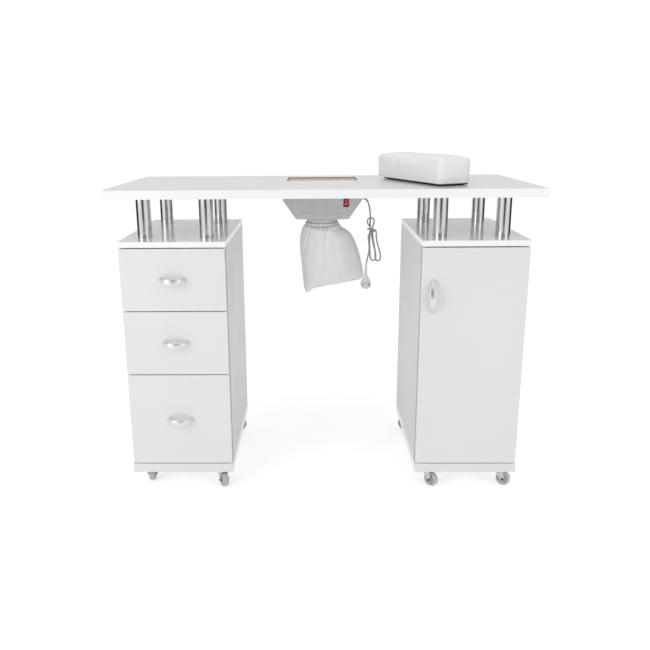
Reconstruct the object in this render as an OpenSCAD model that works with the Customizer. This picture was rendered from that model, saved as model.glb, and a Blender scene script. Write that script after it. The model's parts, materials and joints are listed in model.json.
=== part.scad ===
// Two-pedestal manicure table with a built-in dust collector.
// Frame: millimetres, +Z up, origin on the floor under the middle of the worktop.
// -Y is the client side, where the drawers and the door are; +X runs to the right.

/* [Worktop] */
// Width of the worktop
top_w = 1100; // [1100:10:1200]
// Depth of the worktop
top_d = 460; // [460:5:520]
// Thickness of the worktop board
top_t = 22; // [20:1:28]

/* [Cabinets] */
// Width of each cabinet
cab_w = 275; // [275:5:290]
// Depth of each cabinet, fronts included
cab_d = 405; // [405:5:415]
// Height of each cabinet from its base board to its top board
cab_h = 645; // [645:5:700]
// Overhang of the worktop past the outer side and the front of a cabinet
overhang = 25; // [25:1:30]
// Thickness of the side, top and shelf boards
board = 15; // [15:1:16]
// Thickness of the base board
base_t = 25; // [22:1:28]
// Gap between neighbouring fronts and boards
gap = 3; // [2.5:0.5:3.5]
// Clearance between a front and the side panel behind it
back_gap = 4; // [4:0.25:5]
// Height of the upper drawer front
front_1_h = 164; // [160:1:168]
// Height of the middle drawer front
front_2_h = 172; // [168:1:176]
// Usable run of a drawer
drawer_travel = 260; // [180:10:280]

/* [Support tubes] */
// Outer diameter of a support tube
tube_d = 38; // [32:1:42]
// Wall thickness of a support tube
tube_wall = 1.5; // [1.2:0.1:2.5]
// Height of the space between a cabinet and the worktop
tube_h = 110; // [104:2:130]

/* [Casters] */
// Height of a caster from the floor to the top of its plate
caster_h = 55; // [55:1:60]
// Wheel diameter
wheel_d = 38; // [34:1:38]
// Wheel width
wheel_w = 16; // [14:1:16]
// Horizontal distance from the swivel axis to the axle
trail = 18; // [14:1:18]

/* [Dust collector] */
// Width of the intake opening in the worktop
vent_w = 202; // [190:2:204]
// Depth of the intake opening in the worktop
vent_d = 130; // [120:2:134]
// Height of the collector housing
collector_h = 86; // [86:1:92]
// Wall thickness of the housing
collector_wall = 2.5; // [2:0.1:3]
// Outer diameter of the outlet collar
collar_d = 92; // [90:1:92]

/* [Armrest] */
// Length of the armrest cushion
pad_l = 311; // [290:1:315]
// Width of the armrest cushion
pad_w = 105; // [95:1:110]
// Height of the armrest cushion
pad_h = 71; // [60:1:80]
// Turn of the armrest cushion on the worktop, in degrees
pad_turn = -66; // [-70:1:-60]

/* [Hidden] */
$fn = 48;

// levels
z_cab = caster_h;
z_cab_top = z_cab + cab_h;
z_under = z_cab_top + tube_h;
z_top = z_under + top_t;
// cabinet centres and faces
cab_x = top_w / 2 - overhang - cab_w / 2;
y_front = -top_d / 2 + overhang;
y_back = y_front + cab_d;
front_t = 15;
y_carcass = y_front + front_t + back_gap;
back_t = 9;
// tubes
tube_dx = 82;
tube_y = [y_front + 70.5, y_back - 70.5];
rod_d = 8;
// fronts
z_f1_top = z_cab_top - board - gap;
z_f1 = z_f1_top - front_1_h;
z_f2_top = z_f1 - gap;
z_f2 = z_f2_top - front_2_h;
z_f3_top = z_f2 - gap;
z_f3 = z_cab + base_t + gap;
front_w = cab_w - 4;
// drawer boxes
box_w = 220;
box_l = 350;
box_board = 12;
slide_gap = (cab_w - 2 * board - box_w) / 2;
// hairline left between boards that are pushed together
hairline = 0.05;
// [bottom of the box, height of the box] for each drawer
drawer_z = [[z_f1 + 22, 115], [z_f2 + 22, 120], [z_f3 + 17, 200]];
// casters: [x, y, rest angle of the trail]
caster_in = 38;
cxo = top_w / 2 - overhang - caster_in;
cxi = top_w / 2 - overhang - cab_w + caster_in;
cyf = y_front + 40;
cyr = y_back - 40;
casters = [[-cxo, cyf, 97], [-cxi, cyf, -62], [-cxo, cyr, 60], [-cxi, cyr, 18],
    [cxi, cyf, -42], [cxo, cyf, -24], [cxi, cyr, 150], [cxo, cyr, 105]];
// collector
vent_y = 100;
col_top_hw = 112;
col_bot_hw = 75;
col_lip = 33;
col_y0 = 20;
col_y1 = 180;
z_col = z_under - collector_h;
z_collar = z_col - 18;
dish_h = 7;
// hinge
hinge_z = [z_f3 + 90, z_f1_top - 90];
pin_in = 8.6;
pin_deep = 8.4;
cup_in = 21;
x_door_edge = cab_x + front_w / 2;
x_pin = x_door_edge - pin_in;
y_door_back = y_front + front_t;
y_pin = y_door_back - pin_deep;
// armrest
pad_at = [278, -14];
foot_h = 1.5;
plate_h = 3.5;
// cord
cord_d = 4.8;

// ---------- worktop ----------
module rod_spots() {
    for (s = [-1, 1], dx = [-tube_dx, tube_dx], y = tube_y)
        translate([s * cab_x + dx, y, 0]) children();
}

module tabletop() {
    color("white") difference() {
        translate([-top_w / 2, -top_d / 2, z_under]) cube([top_w, top_d, top_t]);
        translate([-vent_w / 2, vent_y - vent_d / 2, z_under - 1]) cube([vent_w, vent_d, top_t + 2]);
        rod_spots() translate([0, 0, z_under - 1]) cylinder(d = rod_d, h = 13);
    }
}

module vent_trim() {
    color("dimgray") difference() {
        translate([-vent_w / 2, vent_y - vent_d / 2, z_under]) cube([vent_w, vent_d, top_t - 0.5]);
        translate([-vent_w / 2 + 2, vent_y - vent_d / 2 + 2, z_top - 3.5]) cube([vent_w - 4, vent_d - 4, 20]);
        translate([-vent_w / 2 + 6, vent_y - vent_d / 2 + 6, z_under - 1]) cube([vent_w - 12, vent_d - 12, 40]);
    }
}

grille_pitch = 8;
module vent_grille() {
    w = vent_w - 5;
    d = vent_d - 5;
    n = floor((w - 10) / grille_pitch);
    color("peru") translate([0, vent_y, z_top - 3.5]) linear_extrude(2) difference() {
        square([w, d], center = true);
        for (i = [0:n - 1], s = [-1, 1])
            translate([(i - (n - 1) / 2) * grille_pitch, s * d / 4]) square([grille_pitch - 2.5, d / 2 - 7], center = true);
    }
}

// ---------- collector ----------
module col_outline(o) {
    z1 = z_under - col_lip;
    k = (col_top_hw - col_bot_hw) / (z1 - z_col);
    q = o * sqrt(1 + k * k);
    zb = z_col + o;
    hb = col_bot_hw + k * o - q;
    zt = z1 + (o > 0 ? (q - o) / k : 0);
    up = o > 0 ? 5 : 0;
    polygon([[-col_top_hw + o, z_under + up], [-col_top_hw + o, zt], [-hb, zb], [hb, zb],
        [col_top_hw - o, zt], [col_top_hw - o, z_under + up]]);
}
module along_y(y0, y1) {
    translate([0, y1, 0]) rotate([90, 0, 0]) linear_extrude(y1 - y0) children();
}
sw_x = 67.5;
sw_z = z_under - 39;
gland_y = 66;
gland_z = z_under - 31;
module collector_housing() {
    color("darkgray") difference() {
        union() {
            along_y(col_y0, col_y1) col_outline(0);
            // shallow dish that runs from the bottom edges to the collar
            hull() {
                translate([-col_bot_hw + 1.5, col_y0 + 1.5, z_col]) cube([2 * col_bot_hw - 3, col_y1 - col_y0 - 3, 1]);
                translate([0, vent_y, z_col - dish_h]) cylinder(d = collar_d + 8, h = 1);
            }
            // raised pad between the two snap windows
            translate([-34, col_y0 - 0.8, z_col + 1.5]) cube([70, 1.6, 11]);
            // raised bead round the front panel
            along_y(col_y0 - 1.2, col_y0) difference() {
                polygon([[-99, z_under - 14], [-63.5, z_under - 71], [62, z_under - 71], [78, z_under - 51], [99, z_under - 14]]);
                polygon([[-96.6, z_under - 14 - 1.6], [-62.6, z_under - 69.4], [61.2, z_under - 69.4], [76.4, z_under - 50.2], [95.9, z_under - 15.6]]);
                translate([sw_x, sw_z]) square([17, 26], center = true);
            }
        }
        along_y(col_y0 + collector_wall, col_y1 - collector_wall) col_outline(collector_wall);
        translate([0, vent_y, z_col - dish_h - 1]) cylinder(d = collar_d, h = dish_h + 10);
        for (x = [-46, 48]) translate([x - 6, col_y0 - 1, z_col + 7]) cube([12, 2, 3]);
        translate([sw_x - 6.6, col_y0 - 5, sw_z - 10.6]) cube([13.2, 12, 21.2]);
        translate([col_top_hw - 8, gland_y, gland_z]) rotate([0, 90, 0]) cylinder(d = 8, h = 20);
    }
}

module outlet_collar() {
    color("gray") translate([0, vent_y, 0]) difference() {
        union() {
            translate([0, 0, z_collar]) cylinder(d = collar_d, h = 18 + collector_wall + 2);
            translate([0, 0, z_col + collector_wall]) cylinder(d = collar_d + 12, h = 2);
        }
        translate([0, 0, z_collar - 1]) cylinder(d = collar_d - 8, h = 40);
    }
}

z_fan = z_col + collector_wall + 2;
module fan_frame() {
    color("black") translate([0, vent_y, z_fan]) {
        difference() {
            cylinder(r = 50, h = 24);
            translate([0, 0, -1]) cylinder(r = 43, h = 30);
        }
        cylinder(r = 16, h = 3);
        for (a = [30, 150, 270]) rotate(a) translate([15, -3, 0]) cube([29, 6, 3]);
    }
}
module fan_motor() {
    color("silver") translate([0, vent_y, z_fan + 3]) {
        cylinder(r = 14, h = 14.5);
        cylinder(r = 2, h = 24);
    }
}
module fan_impeller() {
    color("dimgray") translate([0, vent_y, z_fan]) difference() {
        union() {
            difference() {
                translate([0, 0, 6]) cylinder(r = 18, h = 20);
                translate([0, 0, 5]) cylinder(r = 15.2, h = 18);
            }
            translate([0, 0, 19]) cylinder(r = 5, h = 6);
            for (i = [0:6]) rotate(i * 360 / 7) translate([28.5, 0, 15]) rotate([38, 0, 0])
                cube([24, 20, 1.6], center = true);
        }
        translate([0, 0, 17.6]) cylinder(r = 2.05, h = 20);
    }
}

// ---------- switch ----------
module switch_bezel() {
    color("black") difference() {
        union() {
            translate([sw_x - 7.6, col_y0 - 1.6, sw_z - 12]) cube([15.2, 1.6, 24]);
            translate([sw_x - 6.6, col_y0, sw_z - 10.6]) cube([13.2, 15, 21.2]);
        }
        translate([sw_x - 5.6, col_y0 - 3, sw_z - 9.8]) cube([11.2, 16, 19.6]);
        translate([sw_x - 6.3, col_y0 + 5, sw_z]) rotate([0, 90, 0]) cylinder(d = 2.1, h = 12.6);
    }
}
module switch_rocker() {
    color("red") translate([sw_x, col_y0 + 5, sw_z]) rotate([-7, 0, 0]) {
        translate([-5.3, 0, 0]) rotate([90, 0, 90]) linear_extrude(10.6)
            polygon([[-6.9, -8.6], [-5.8, 0], [-6.9, 8.6], [-2, 8.2], [3.5, 3], [3.5, -3], [-2, -8.2]]);
        translate([-6.2, 0, 0]) rotate([0, 90, 0]) cylinder(d = 2, h = 12.4);
    }
}

// ---------- tubes ----------
module support_tubes() {
    color("silver") rod_spots() translate([0, 0, z_cab_top]) difference() {
        cylinder(d = tube_d, h = tube_h);
        translate([0, 0, -1]) cylinder(d = tube_d - 2 * tube_wall, h = tube_h + 2);
    }
}
module tube_bolts() {
    color("gray") rod_spots() {
        translate([0, 0, z_cab_top - board]) cylinder(d = rod_d, h = board + tube_h + 12);
        translate([0, 0, z_cab_top - board - 1.6]) cylinder(d = 20, h = 1.6);
        translate([0, 0, z_cab_top - board - 6.6]) cylinder(d = 14, h = 5, $fn = 6);
    }
}

// ---------- cabinets ----------
module cab_top(s) {
    difference() {
        translate([s * cab_x - cab_w / 2, y_front, z_cab_top - board]) cube([cab_w, cab_d, board]);
        rod_spots() translate([0, 0, z_cab_top - board - 1]) cylinder(d = rod_d, h = board + 2);
    }
}
module plate_screws() {
    for (dx = [-15, 15], dy = [-15, 15]) translate([dx, dy, 0]) children();
}
module cab_bottom(s) {
    difference() {
        translate([s * cab_x - cab_w / 2, y_front, z_cab]) cube([cab_w, cab_d, base_t]);
        for (c = casters) translate([c[0], c[1], z_cab - 1]) plate_screws() cylinder(d = 3.5, h = 13);
    }
}
module cab_sides(s) {
    for (t = [-1, 1])
        translate([s * cab_x + t * (cab_w - board) / 2 - board / 2, y_carcass, z_cab + base_t])
            cube([board, y_back - y_carcass, cab_h - base_t - board]);
}
module cab_back(s) {
    translate([s * cab_x - cab_w / 2 + board, y_back - back_t, z_cab + base_t])
        cube([cab_w - 2 * board, back_t, cab_h - base_t - board]);
}
module left_cabinet_top() { color("white") cab_top(-1); }
module left_cabinet_bottom() { color("white") cab_bottom(-1); }
module left_cabinet_sides() { color("whitesmoke") cab_sides(-1); }
module left_cabinet_back() { color("whitesmoke") cab_back(-1); }
module right_cabinet_top() { color("white") cab_top(1); }
module right_cabinet_bottom() { color("white") cab_bottom(1); }
module right_cabinet_sides() { color("whitesmoke") cab_sides(1); }
module right_cabinet_back() { color("whitesmoke") cab_back(1); }
module right_cabinet_shelf() {
    color("white") translate([cab_x - cab_w / 2 + board, y_carcass + 20, z_f2 - 10])
        cube([cab_w - 2 * board, y_back - back_t - y_carcass - 20, board]);
}

// ---------- drawer runners ----------
module on_both_slides() {
    translate([-cab_x - cab_w / 2 + board, 0, 0]) children();
    translate([-cab_x + cab_w / 2 - board, 0, 0]) mirror([1, 0, 0]) children();
}
// channel profile: web of height h at x0, lips reaching to x1
module channel(x0, x1, h, t) {
    translate([min(x0, x0 + sign(x1 - x0) * t), -h / 2]) square([t, h]);
    for (s = [-1, 1]) translate([min(x0, x1), s * (h - t) / 2 - t / 2]) square([abs(x1 - x0), t]);
}
module cabinet_rails() {
    color("silver") for (d = drawer_z) on_both_slides()
        translate([0, 0, d[0] + d[1] / 2]) along_y(y_carcass, y_carcass + box_l) channel(0, 9.7, 44, 1.2);
}

// ---------- drawers ----------
module handle(l, grip) {
    // l: overall length; the bar bows out along -Y from y = 0, the long way is X
    reach = 24;
    r = (l * l / 4 + reach * reach) / (2 * reach);
    intersection() {
        translate([0, 0, -20]) linear_extrude(40) difference() {
            translate([0, r - reach]) circle(r, $fn = 120);
            translate([0, r - reach + 4.2]) circle(r, $fn = 120);
            translate([-l, 0]) square([2 * l, 3 * r]);
        }
        translate([0, 5, 0]) rotate([90, 0, 0]) linear_extrude(40) intersection() {
            translate([-l / 2, -11]) square([l, 19]);
            translate([0, l * 0.85 - 11]) circle(l * 0.85, $fn = 120);
        }
    }
    for (s = [-1, 1]) {
        translate([s * (l / 2 - 4.5), 0, 0]) rotate([90, 0, 0]) cylinder(d = 8, h = 5.5);
        translate([s * (l / 2 - 4.5), grip, 0]) rotate([90, 0, 0]) cylinder(d = 4, h = grip + 1);
        translate([s * (l / 2 - 4.5), grip + 2.4, 0]) rotate([90, 0, 0]) cylinder(d = 8, h = 2.4);
    }
}
hl = 69;
dhl = 90;
module front(z0, z1) {
    difference() {
        translate([-cab_x - front_w / 2, y_front, z0]) cube([front_w, front_t, z1 - z0]);
        for (s = [-1, 1]) translate([-cab_x + s * (hl / 2 - 4.5), y_front + 20, (z0 + z1) / 2])
            rotate([90, 0, 0]) cylinder(d = 4, h = 30);
    }
}
module drawer_box(i, zh) {
    z0 = drawer_z[i][0];
    h = drawer_z[i][1];
    y0 = y_front + front_t;
    e = hairline;
    color("whitesmoke") translate([-cab_x, y0, z0]) {
        for (s = [-1, 1]) translate([s * (box_w - box_board) / 2 - box_board / 2, 0, 0]) cube([box_board, box_l, h]);
        difference() {
            translate([-box_w / 2 + box_board + e, 0, 0]) cube([box_w - 2 * box_board - 2 * e, box_board, h]);
            for (s = [-1, 1]) translate([s * (hl / 2 - 4.5), 20, zh - z0]) rotate([90, 0, 0]) cylinder(d = 4, h = 30);
        }
        translate([-box_w / 2 + box_board + e, box_l - box_board, 0]) cube([box_w - 2 * box_board - 2 * e, box_board, h]);
        translate([-box_w / 2 + box_board + e, box_board + e, 8]) cube([box_w - 2 * box_board - 2 * e, box_l - 2 * box_board - 2 * e, 5]);
    }
    color("silver") on_both_slides() translate([0, 0, z0 + h / 2])
        along_y(y_carcass, y_carcass + box_l - 8) channel(slide_gap - e, slide_gap - 9.2, 40.6, 1.2);
}
module drawer_handle(zh) {
    color("gainsboro") translate([-cab_x, y_front, zh]) handle(hl, front_t + box_board);
}
module drawer_1_front() { color("white") front(z_f1, z_f1_top); }
module drawer_2_front() { color("white") front(z_f2, z_f2_top); }
module drawer_3_front() { color("white") front(z_f3, z_f3_top); }
module drawer_1_box() { drawer_box(0, (z_f1 + z_f1_top) / 2); }
module drawer_2_box() { drawer_box(1, (z_f2 + z_f2_top) / 2); }
module drawer_3_box() { drawer_box(2, (z_f3 + z_f3_top) / 2); }
module drawer_1_handle() { drawer_handle((z_f1 + z_f1_top) / 2); }
module drawer_2_handle() { drawer_handle((z_f2 + z_f2_top) / 2); }
module drawer_3_handle() { drawer_handle((z_f3 + z_f3_top) / 2); }

// ---------- door ----------
dh_x = cab_x - front_w / 2 + 27;
dh_z = z_cab + 500;
module door_panel() {
    color("white") difference() {
        translate([cab_x - front_w / 2, y_front, z_f3]) cube([front_w, front_t, z_f1_top - z_f3]);
        for (z = hinge_z) translate([x_door_edge - cup_in, y_door_back + 1, z]) rotate([90, 0, 0]) cylinder(d = 35, h = 13.5);
        for (s = [-1, 1]) translate([dh_x, y_front + 20, dh_z + s * (dhl / 2 - 4.5)]) rotate([90, 0, 0]) cylinder(d = 4, h = 30);
    }
}
module door_handle() {
    color("gainsboro") translate([dh_x, y_front, dh_z]) rotate([0, 90, 0]) handle(dhl, front_t);
}
module hinge_cups() {
    color("silver") for (z = hinge_z) {
        difference() {
            translate([x_door_edge - cup_in, y_door_back, z]) rotate([90, 0, 0]) cylinder(d = 35, h = 12.5);
            translate([x_door_edge - cup_in, y_door_back + 5, z]) rotate([90, 0, 0]) cylinder(d = 33.4, h = 16.7);
        }
        translate([x_pin, y_pin, z - 11.3]) cylinder(d = 3, h = 22.6);
    }
}
module hinge_arms() {
    xa = x_door_edge - 27;
    xs = cab_x + cab_w / 2 - board;
    color("silver") for (z = hinge_z) {
        // goose-neck arm with the bored knuckle
        difference() {
            union() {
                translate([x_pin, y_pin, z - 5]) cylinder(r = 3, h = 10);
                translate([xa - 1.5, y_pin - 1.5, z - 5]) cube([x_pin - xa + 1.5, 3, 10]);
                translate([xa - 1.5, y_pin - 1.5, z - 5]) cube([3, 66, 10]);
                translate([xa + 1.5, y_pin + 24, z - 8]) cube([xs - xa - 1.5, 38, 16]);
                translate([xs - 2, y_pin + 30, z - 24]) cube([2, 26, 48]);
            }
            translate([x_pin, y_pin, z - 6]) cylinder(d = 3.1, h = 12);
        }
    }
}

// ---------- casters ----------
z_axle = wheel_d / 2;
module caster_plates() {
    for (c = casters) translate([c[0], c[1], 0]) color("silver") {
        difference() {
            translate([-21, -21, z_cab - 2.5]) cube([42, 42, 2.5]);
            plate_screws() translate([0, 0, z_cab - 5]) cylinder(d = 3.5, h = 10);
        }
        plate_screws() {
            translate([0, 0, z_cab - 4]) cylinder(d = 7, h = 1.5);
            translate([0, 0, z_cab - 2.5]) cylinder(d = 3.5, h = 14.5);
        }
        translate([0, 0, z_cab - 6]) cylinder(d = 24, h = 3.5);
        translate([0, 0, z_cab - 13]) cylinder(d = 8, h = 7);
        translate([0, 0, z_cab - 13]) cylinder(d = 12, h = 3.2);
    }
}
module caster_fork(i) {
    c = casters[i];
    hw = wheel_w / 2 + 1.2;
    color("gainsboro") translate([c[0], c[1], 0]) rotate(c[2]) {
        difference() {
            union() {
                translate([0, 0, z_cab - 9.5]) cylinder(d = 26, h = 3.2);
                translate([-8, -hw - 2, z_cab - 9.5]) cube([26, 2 * hw + 4, 3.2]);
            }
            translate([0, 0, z_cab - 12]) cylinder(d = 8.1, h = 10);
        }
        for (s = [-1, 1]) translate([0, s * (hw + 1) + 1, 0]) rotate([90, 0, 0]) linear_extrude(2)
            union() {
                polygon([[-8, z_cab - 9.5], [18, z_cab - 9.5], [trail + 6.5, z_axle], [trail - 6.5, z_axle - 1]]);
                translate([trail, z_axle]) circle(d = 13);
            }
        translate([trail, hw + 3, z_axle]) rotate([90, 0, 0]) cylinder(d = 5, h = 2 * hw + 6);
    }
}
module caster_wheel(i) {
    c = casters[i];
    color("dimgray") translate([c[0], c[1], 0]) rotate(c[2]) translate([trail, 0, z_axle]) rotate([90, 0, 0])
        rotate_extrude($fn = 64) polygon([[2.55, -wheel_w / 2 - 0.7], [5.5, -wheel_w / 2 - 0.7], [5.5, -5], [13, -5],
            [13.5, -wheel_w / 2], [wheel_d / 2 - 2, -wheel_w / 2], [wheel_d / 2, -wheel_w / 2 + 2.5],
            [wheel_d / 2, wheel_w / 2 - 2.5], [wheel_d / 2 - 2, wheel_w / 2], [13.5, wheel_w / 2], [13, 5],
            [5.5, 5], [5.5, wheel_w / 2 + 0.7], [2.55, wheel_w / 2 + 0.7]]);
}
module caster_fork_1() { caster_fork(0); }
module caster_fork_2() { caster_fork(1); }
module caster_fork_3() { caster_fork(2); }
module caster_fork_4() { caster_fork(3); }
module caster_fork_5() { caster_fork(4); }
module caster_fork_6() { caster_fork(5); }
module caster_fork_7() { caster_fork(6); }
module caster_fork_8() { caster_fork(7); }
module caster_wheel_1() { caster_wheel(0); }
module caster_wheel_2() { caster_wheel(1); }
module caster_wheel_3() { caster_wheel(2); }
module caster_wheel_4() { caster_wheel(3); }
module caster_wheel_5() { caster_wheel(4); }
module caster_wheel_6() { caster_wheel(5); }
module caster_wheel_7() { caster_wheel(6); }
module caster_wheel_8() { caster_wheel(7); }

// ---------- dust bag ----------
module bag_band() {
    color("lightgray") translate([0, vent_y, z_collar - 9]) difference() {
        cylinder(r = 50, h = 9);
        translate([0, 0, -1]) cylinder(r = 47, h = 11);
    }
}
module dust_bag() {
    color("whitesmoke") {
        translate([0, vent_y, z_collar - 14]) cylinder(r = 47, h = 14);
        hull() {
            translate([0, vent_y, z_collar - 17]) cylinder(r = 47, h = 3, $fn = 36);
            translate([-14, 104, z_collar - 63]) sphere(56, $fn = 32);
            translate([38, 106, z_collar - 66]) sphere(54, $fn = 32);
            translate([-28, 104, z_collar - 138]) sphere(39, $fn = 32);
            translate([82, 106, z_collar - 124]) sphere(41, $fn = 32);
            // lower corners of the sack, joined by its sloping seam
            translate([-47, 102, z_collar - 209]) sphere(10, $fn = 24);
            translate([116, 102, z_collar - 163]) sphere(11, $fn = 24);
        }
    }
}

// ---------- cord ----------
// sweep of a round section along a list of points that lie in planes close to XZ
function unit(v) = v / norm(v);
function tan_at(p, i) = unit(p[min(i + 1, len(p) - 1)] - p[max(i - 1, 0)]);
function ring_at(p, i, r, n) = let (t = tan_at(p, i), u = unit(cross(t, [0, 1, 0])), v = cross(t, u))
    [for (k = [0:n - 1]) p[i] + r * (cos(360 * k / n) * u + sin(360 * k / n) * v)];
function cr(a, b, c, d, t) = 0.5 * ((2 * b) + (c - a) * t + (2 * a - 5 * b + 4 * c - d) * t * t + (3 * b - a - 3 * c + d) * t * t * t);
function smooth(p, m) = let (n = len(p)) concat([for (i = [0:n - 2], j = [0:m - 1])
    cr(i > 0 ? p[i - 1] : 2 * p[0] - p[1], p[i], p[i + 1], i < n - 2 ? p[i + 2] : 2 * p[n - 1] - p[n - 2], j / m)], [p[n - 1]]);
module sweep(path, r, n) {
    m = len(path);
    pts = [for (i = [0:m - 1]) each ring_at(path, i, r, n)];
    polyhedron(pts, concat([[for (k = [0:n - 1]) n - 1 - k]],
        [for (i = [0:m - 2], k = [0:n - 1]) [i * n + k, i * n + (k + 1) % n, (i + 1) * n + (k + 1) % n, (i + 1) * n + k]],
        [[for (k = [0:n - 1]) (m - 1) * n + k]]));
}
cord_y = 66;
lead = [[119, cord_y, gland_z], [124, cord_y, gland_z - 0.8], [130, cord_y, gland_z - 6], [135, cord_y, gland_z - 16],
    [138, cord_y, gland_z - 29], [140, cord_y, gland_z - 43], [141, cord_y, gland_z - 58]];
tail = [[137.8, 60, 624], [135.4, 60, 610], [132.2, 60, 596], [130.2, 60, 582]];
module power_cord() {
    color("lightgray") {
        sweep(smooth(lead, 2), cord_d / 2, 8);
        sweep(smooth(tail, 2), cord_d / 2, 8);
    }
}
module cord_hank() {
    color("lightgray") translate([0, 78.4, 0]) rotate([90, 0, 0]) linear_extrude(25.4) hull() {
        translate([141.9, 711]) circle(13.4);
        translate([146, 684]) circle(15.5);
        translate([150, 640]) circle(15);
        translate([155.6, 610]) circle(18.4);
    }
}
module cord_gland() {
    color("dimgray") translate([0, gland_y, gland_z]) rotate([0, 90, 0]) {
        translate([0, 0, col_top_hw - 6]) cylinder(d = 8, h = 6);
        translate([0, 0, col_top_hw]) cylinder(d = 12, h = 2);
        translate([0, 0, col_top_hw + 2]) cylinder(d = 8.5, h = 5);
    }
}
plug_x = 129;
plug_z = 524;
module plug() {
    color("white") {
        // body with its round pin face towards -Y
        translate([plug_x, 68, 0]) rotate([90, 0, 0]) linear_extrude(16) hull() {
            translate([0, plug_z]) circle(16);
            translate([0, plug_z + 30]) circle(6);
        }
        translate([plug_x, 60, plug_z + 34]) cylinder(d = 9, h = 24);
    }
    color("silver") for (s = [-1, 1]) translate([plug_x + s * 9.5, 52, plug_z]) rotate([90, 0, 0]) cylinder(d = 4, h = 19);
}

// ---------- armrest ----------
module at_pad() { translate([pad_at[0], pad_at[1], z_top]) rotate(pad_turn) children(); }
module armrest_pad() {
    r = 16;
    color("white") at_pad() translate([0, 0, foot_h + plate_h]) hull()
        for (sx = [-1, 1], sy = [-1, 1]) {
            translate([sx * (pad_l / 2 - r), sy * (pad_w / 2 - r), pad_h - r]) sphere(r, $fn = 24);
            translate([sx * (pad_l / 2 - r), sy * (pad_w / 2 - r), 0]) cylinder(r1 = r - 4, r2 = r, h = 10, $fn = 24);
        }
}
module armrest_base() {
    color("black") at_pad() {
        translate([-pad_l / 2 + 13, -pad_w / 2 + 11, foot_h]) cube([pad_l - 26, pad_w - 22, plate_h]);
        for (sx = [-1, 1], sy = [-1, 1]) translate([sx * (pad_l / 2 - 26), sy * (pad_w / 2 - 22), 0])
            cylinder(d = 14, h = foot_h);
    }
}

tabletop();
vent_trim();
vent_grille();
collector_housing();
fan_frame();
fan_motor();
outlet_collar();
switch_bezel();
cord_gland();
support_tubes();
tube_bolts();
left_cabinet_top();
left_cabinet_bottom();
left_cabinet_sides();
left_cabinet_back();
right_cabinet_top();
right_cabinet_bottom();
right_cabinet_sides();
right_cabinet_back();
right_cabinet_shelf();
cabinet_rails();
hinge_arms();
caster_plates();
bag_band();
dust_bag();
power_cord();
cord_hank();
plug();
drawer_1_front();
drawer_1_box();
drawer_1_handle();
drawer_2_front();
drawer_2_box();
drawer_2_handle();
drawer_3_front();
drawer_3_box();
drawer_3_handle();
door_panel();
door_handle();
hinge_cups();
switch_rocker();
fan_impeller();
armrest_pad();
armrest_base();
caster_fork_1();
caster_fork_2();
caster_fork_3();
caster_fork_4();
caster_fork_5();
caster_fork_6();
caster_fork_7();
caster_fork_8();
caster_wheel_1();
caster_wheel_2();
caster_wheel_3();
caster_wheel_4();
caster_wheel_5();
caster_wheel_6();
caster_wheel_7();
caster_wheel_8();
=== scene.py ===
import json
import math

import bmesh
import bpy
import numpy as np
from mathutils import Matrix, Vector

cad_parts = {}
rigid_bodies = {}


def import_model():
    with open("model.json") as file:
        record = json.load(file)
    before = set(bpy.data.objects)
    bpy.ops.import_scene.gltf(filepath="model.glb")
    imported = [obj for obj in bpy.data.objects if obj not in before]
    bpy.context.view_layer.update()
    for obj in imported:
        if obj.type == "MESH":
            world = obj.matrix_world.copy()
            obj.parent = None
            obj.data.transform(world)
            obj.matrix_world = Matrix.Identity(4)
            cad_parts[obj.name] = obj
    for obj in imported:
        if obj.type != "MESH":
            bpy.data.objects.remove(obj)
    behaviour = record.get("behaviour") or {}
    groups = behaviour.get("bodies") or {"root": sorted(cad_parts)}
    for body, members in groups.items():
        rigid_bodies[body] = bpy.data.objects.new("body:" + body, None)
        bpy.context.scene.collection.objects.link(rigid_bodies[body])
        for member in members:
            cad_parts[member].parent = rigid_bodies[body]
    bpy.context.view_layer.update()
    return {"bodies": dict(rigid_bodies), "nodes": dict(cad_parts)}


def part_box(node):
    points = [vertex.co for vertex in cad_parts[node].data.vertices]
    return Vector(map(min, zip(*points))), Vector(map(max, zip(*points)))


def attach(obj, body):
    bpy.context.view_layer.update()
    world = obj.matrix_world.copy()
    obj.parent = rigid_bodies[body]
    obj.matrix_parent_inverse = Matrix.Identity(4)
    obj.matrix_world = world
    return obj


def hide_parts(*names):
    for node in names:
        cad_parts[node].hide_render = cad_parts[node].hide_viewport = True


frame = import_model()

MM = 0.001
scene = bpy.context.scene
N = frame["nodes"]

# ------------------------------------------------------------------ camera
cam_data = bpy.data.cameras.new("camera")
cam_data.sensor_fit = "HORIZONTAL"
cam_data.sensor_width = 36.0
cam_data.lens = 35.53
cam_data.shift_x, cam_data.shift_y = 0.0303, -0.0685
cam_data.clip_start, cam_data.clip_end = 0.05, 60
cam = bpy.data.objects.new("camera", cam_data)
scene.collection.objects.link(cam)
yaw, pitch, roll = -0.0144, 0.2360, -0.0074
fwd = Vector((math.sin(yaw) * math.cos(pitch), math.cos(yaw) * math.cos(pitch), -math.sin(pitch)))
right = Vector((math.cos(yaw), -math.sin(yaw), 0))
up = right.cross(fwd)
r2 = math.cos(roll) * right + math.sin(roll) * up
u2 = -math.sin(roll) * right + math.cos(roll) * up
cam.matrix_world = Matrix(((r2.x, u2.x, -fwd.x, -0.0238), (r2.y, u2.y, -fwd.y, -1.8025),
                           (r2.z, u2.z, -fwd.z, 0.9826), (0, 0, 0, 1)))
scene.camera = cam


# ------------------------------------------------------------------ helpers
def link(name, mesh):
    o = bpy.data.objects.new(name, mesh)
    scene.collection.objects.link(o)
    return o


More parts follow.
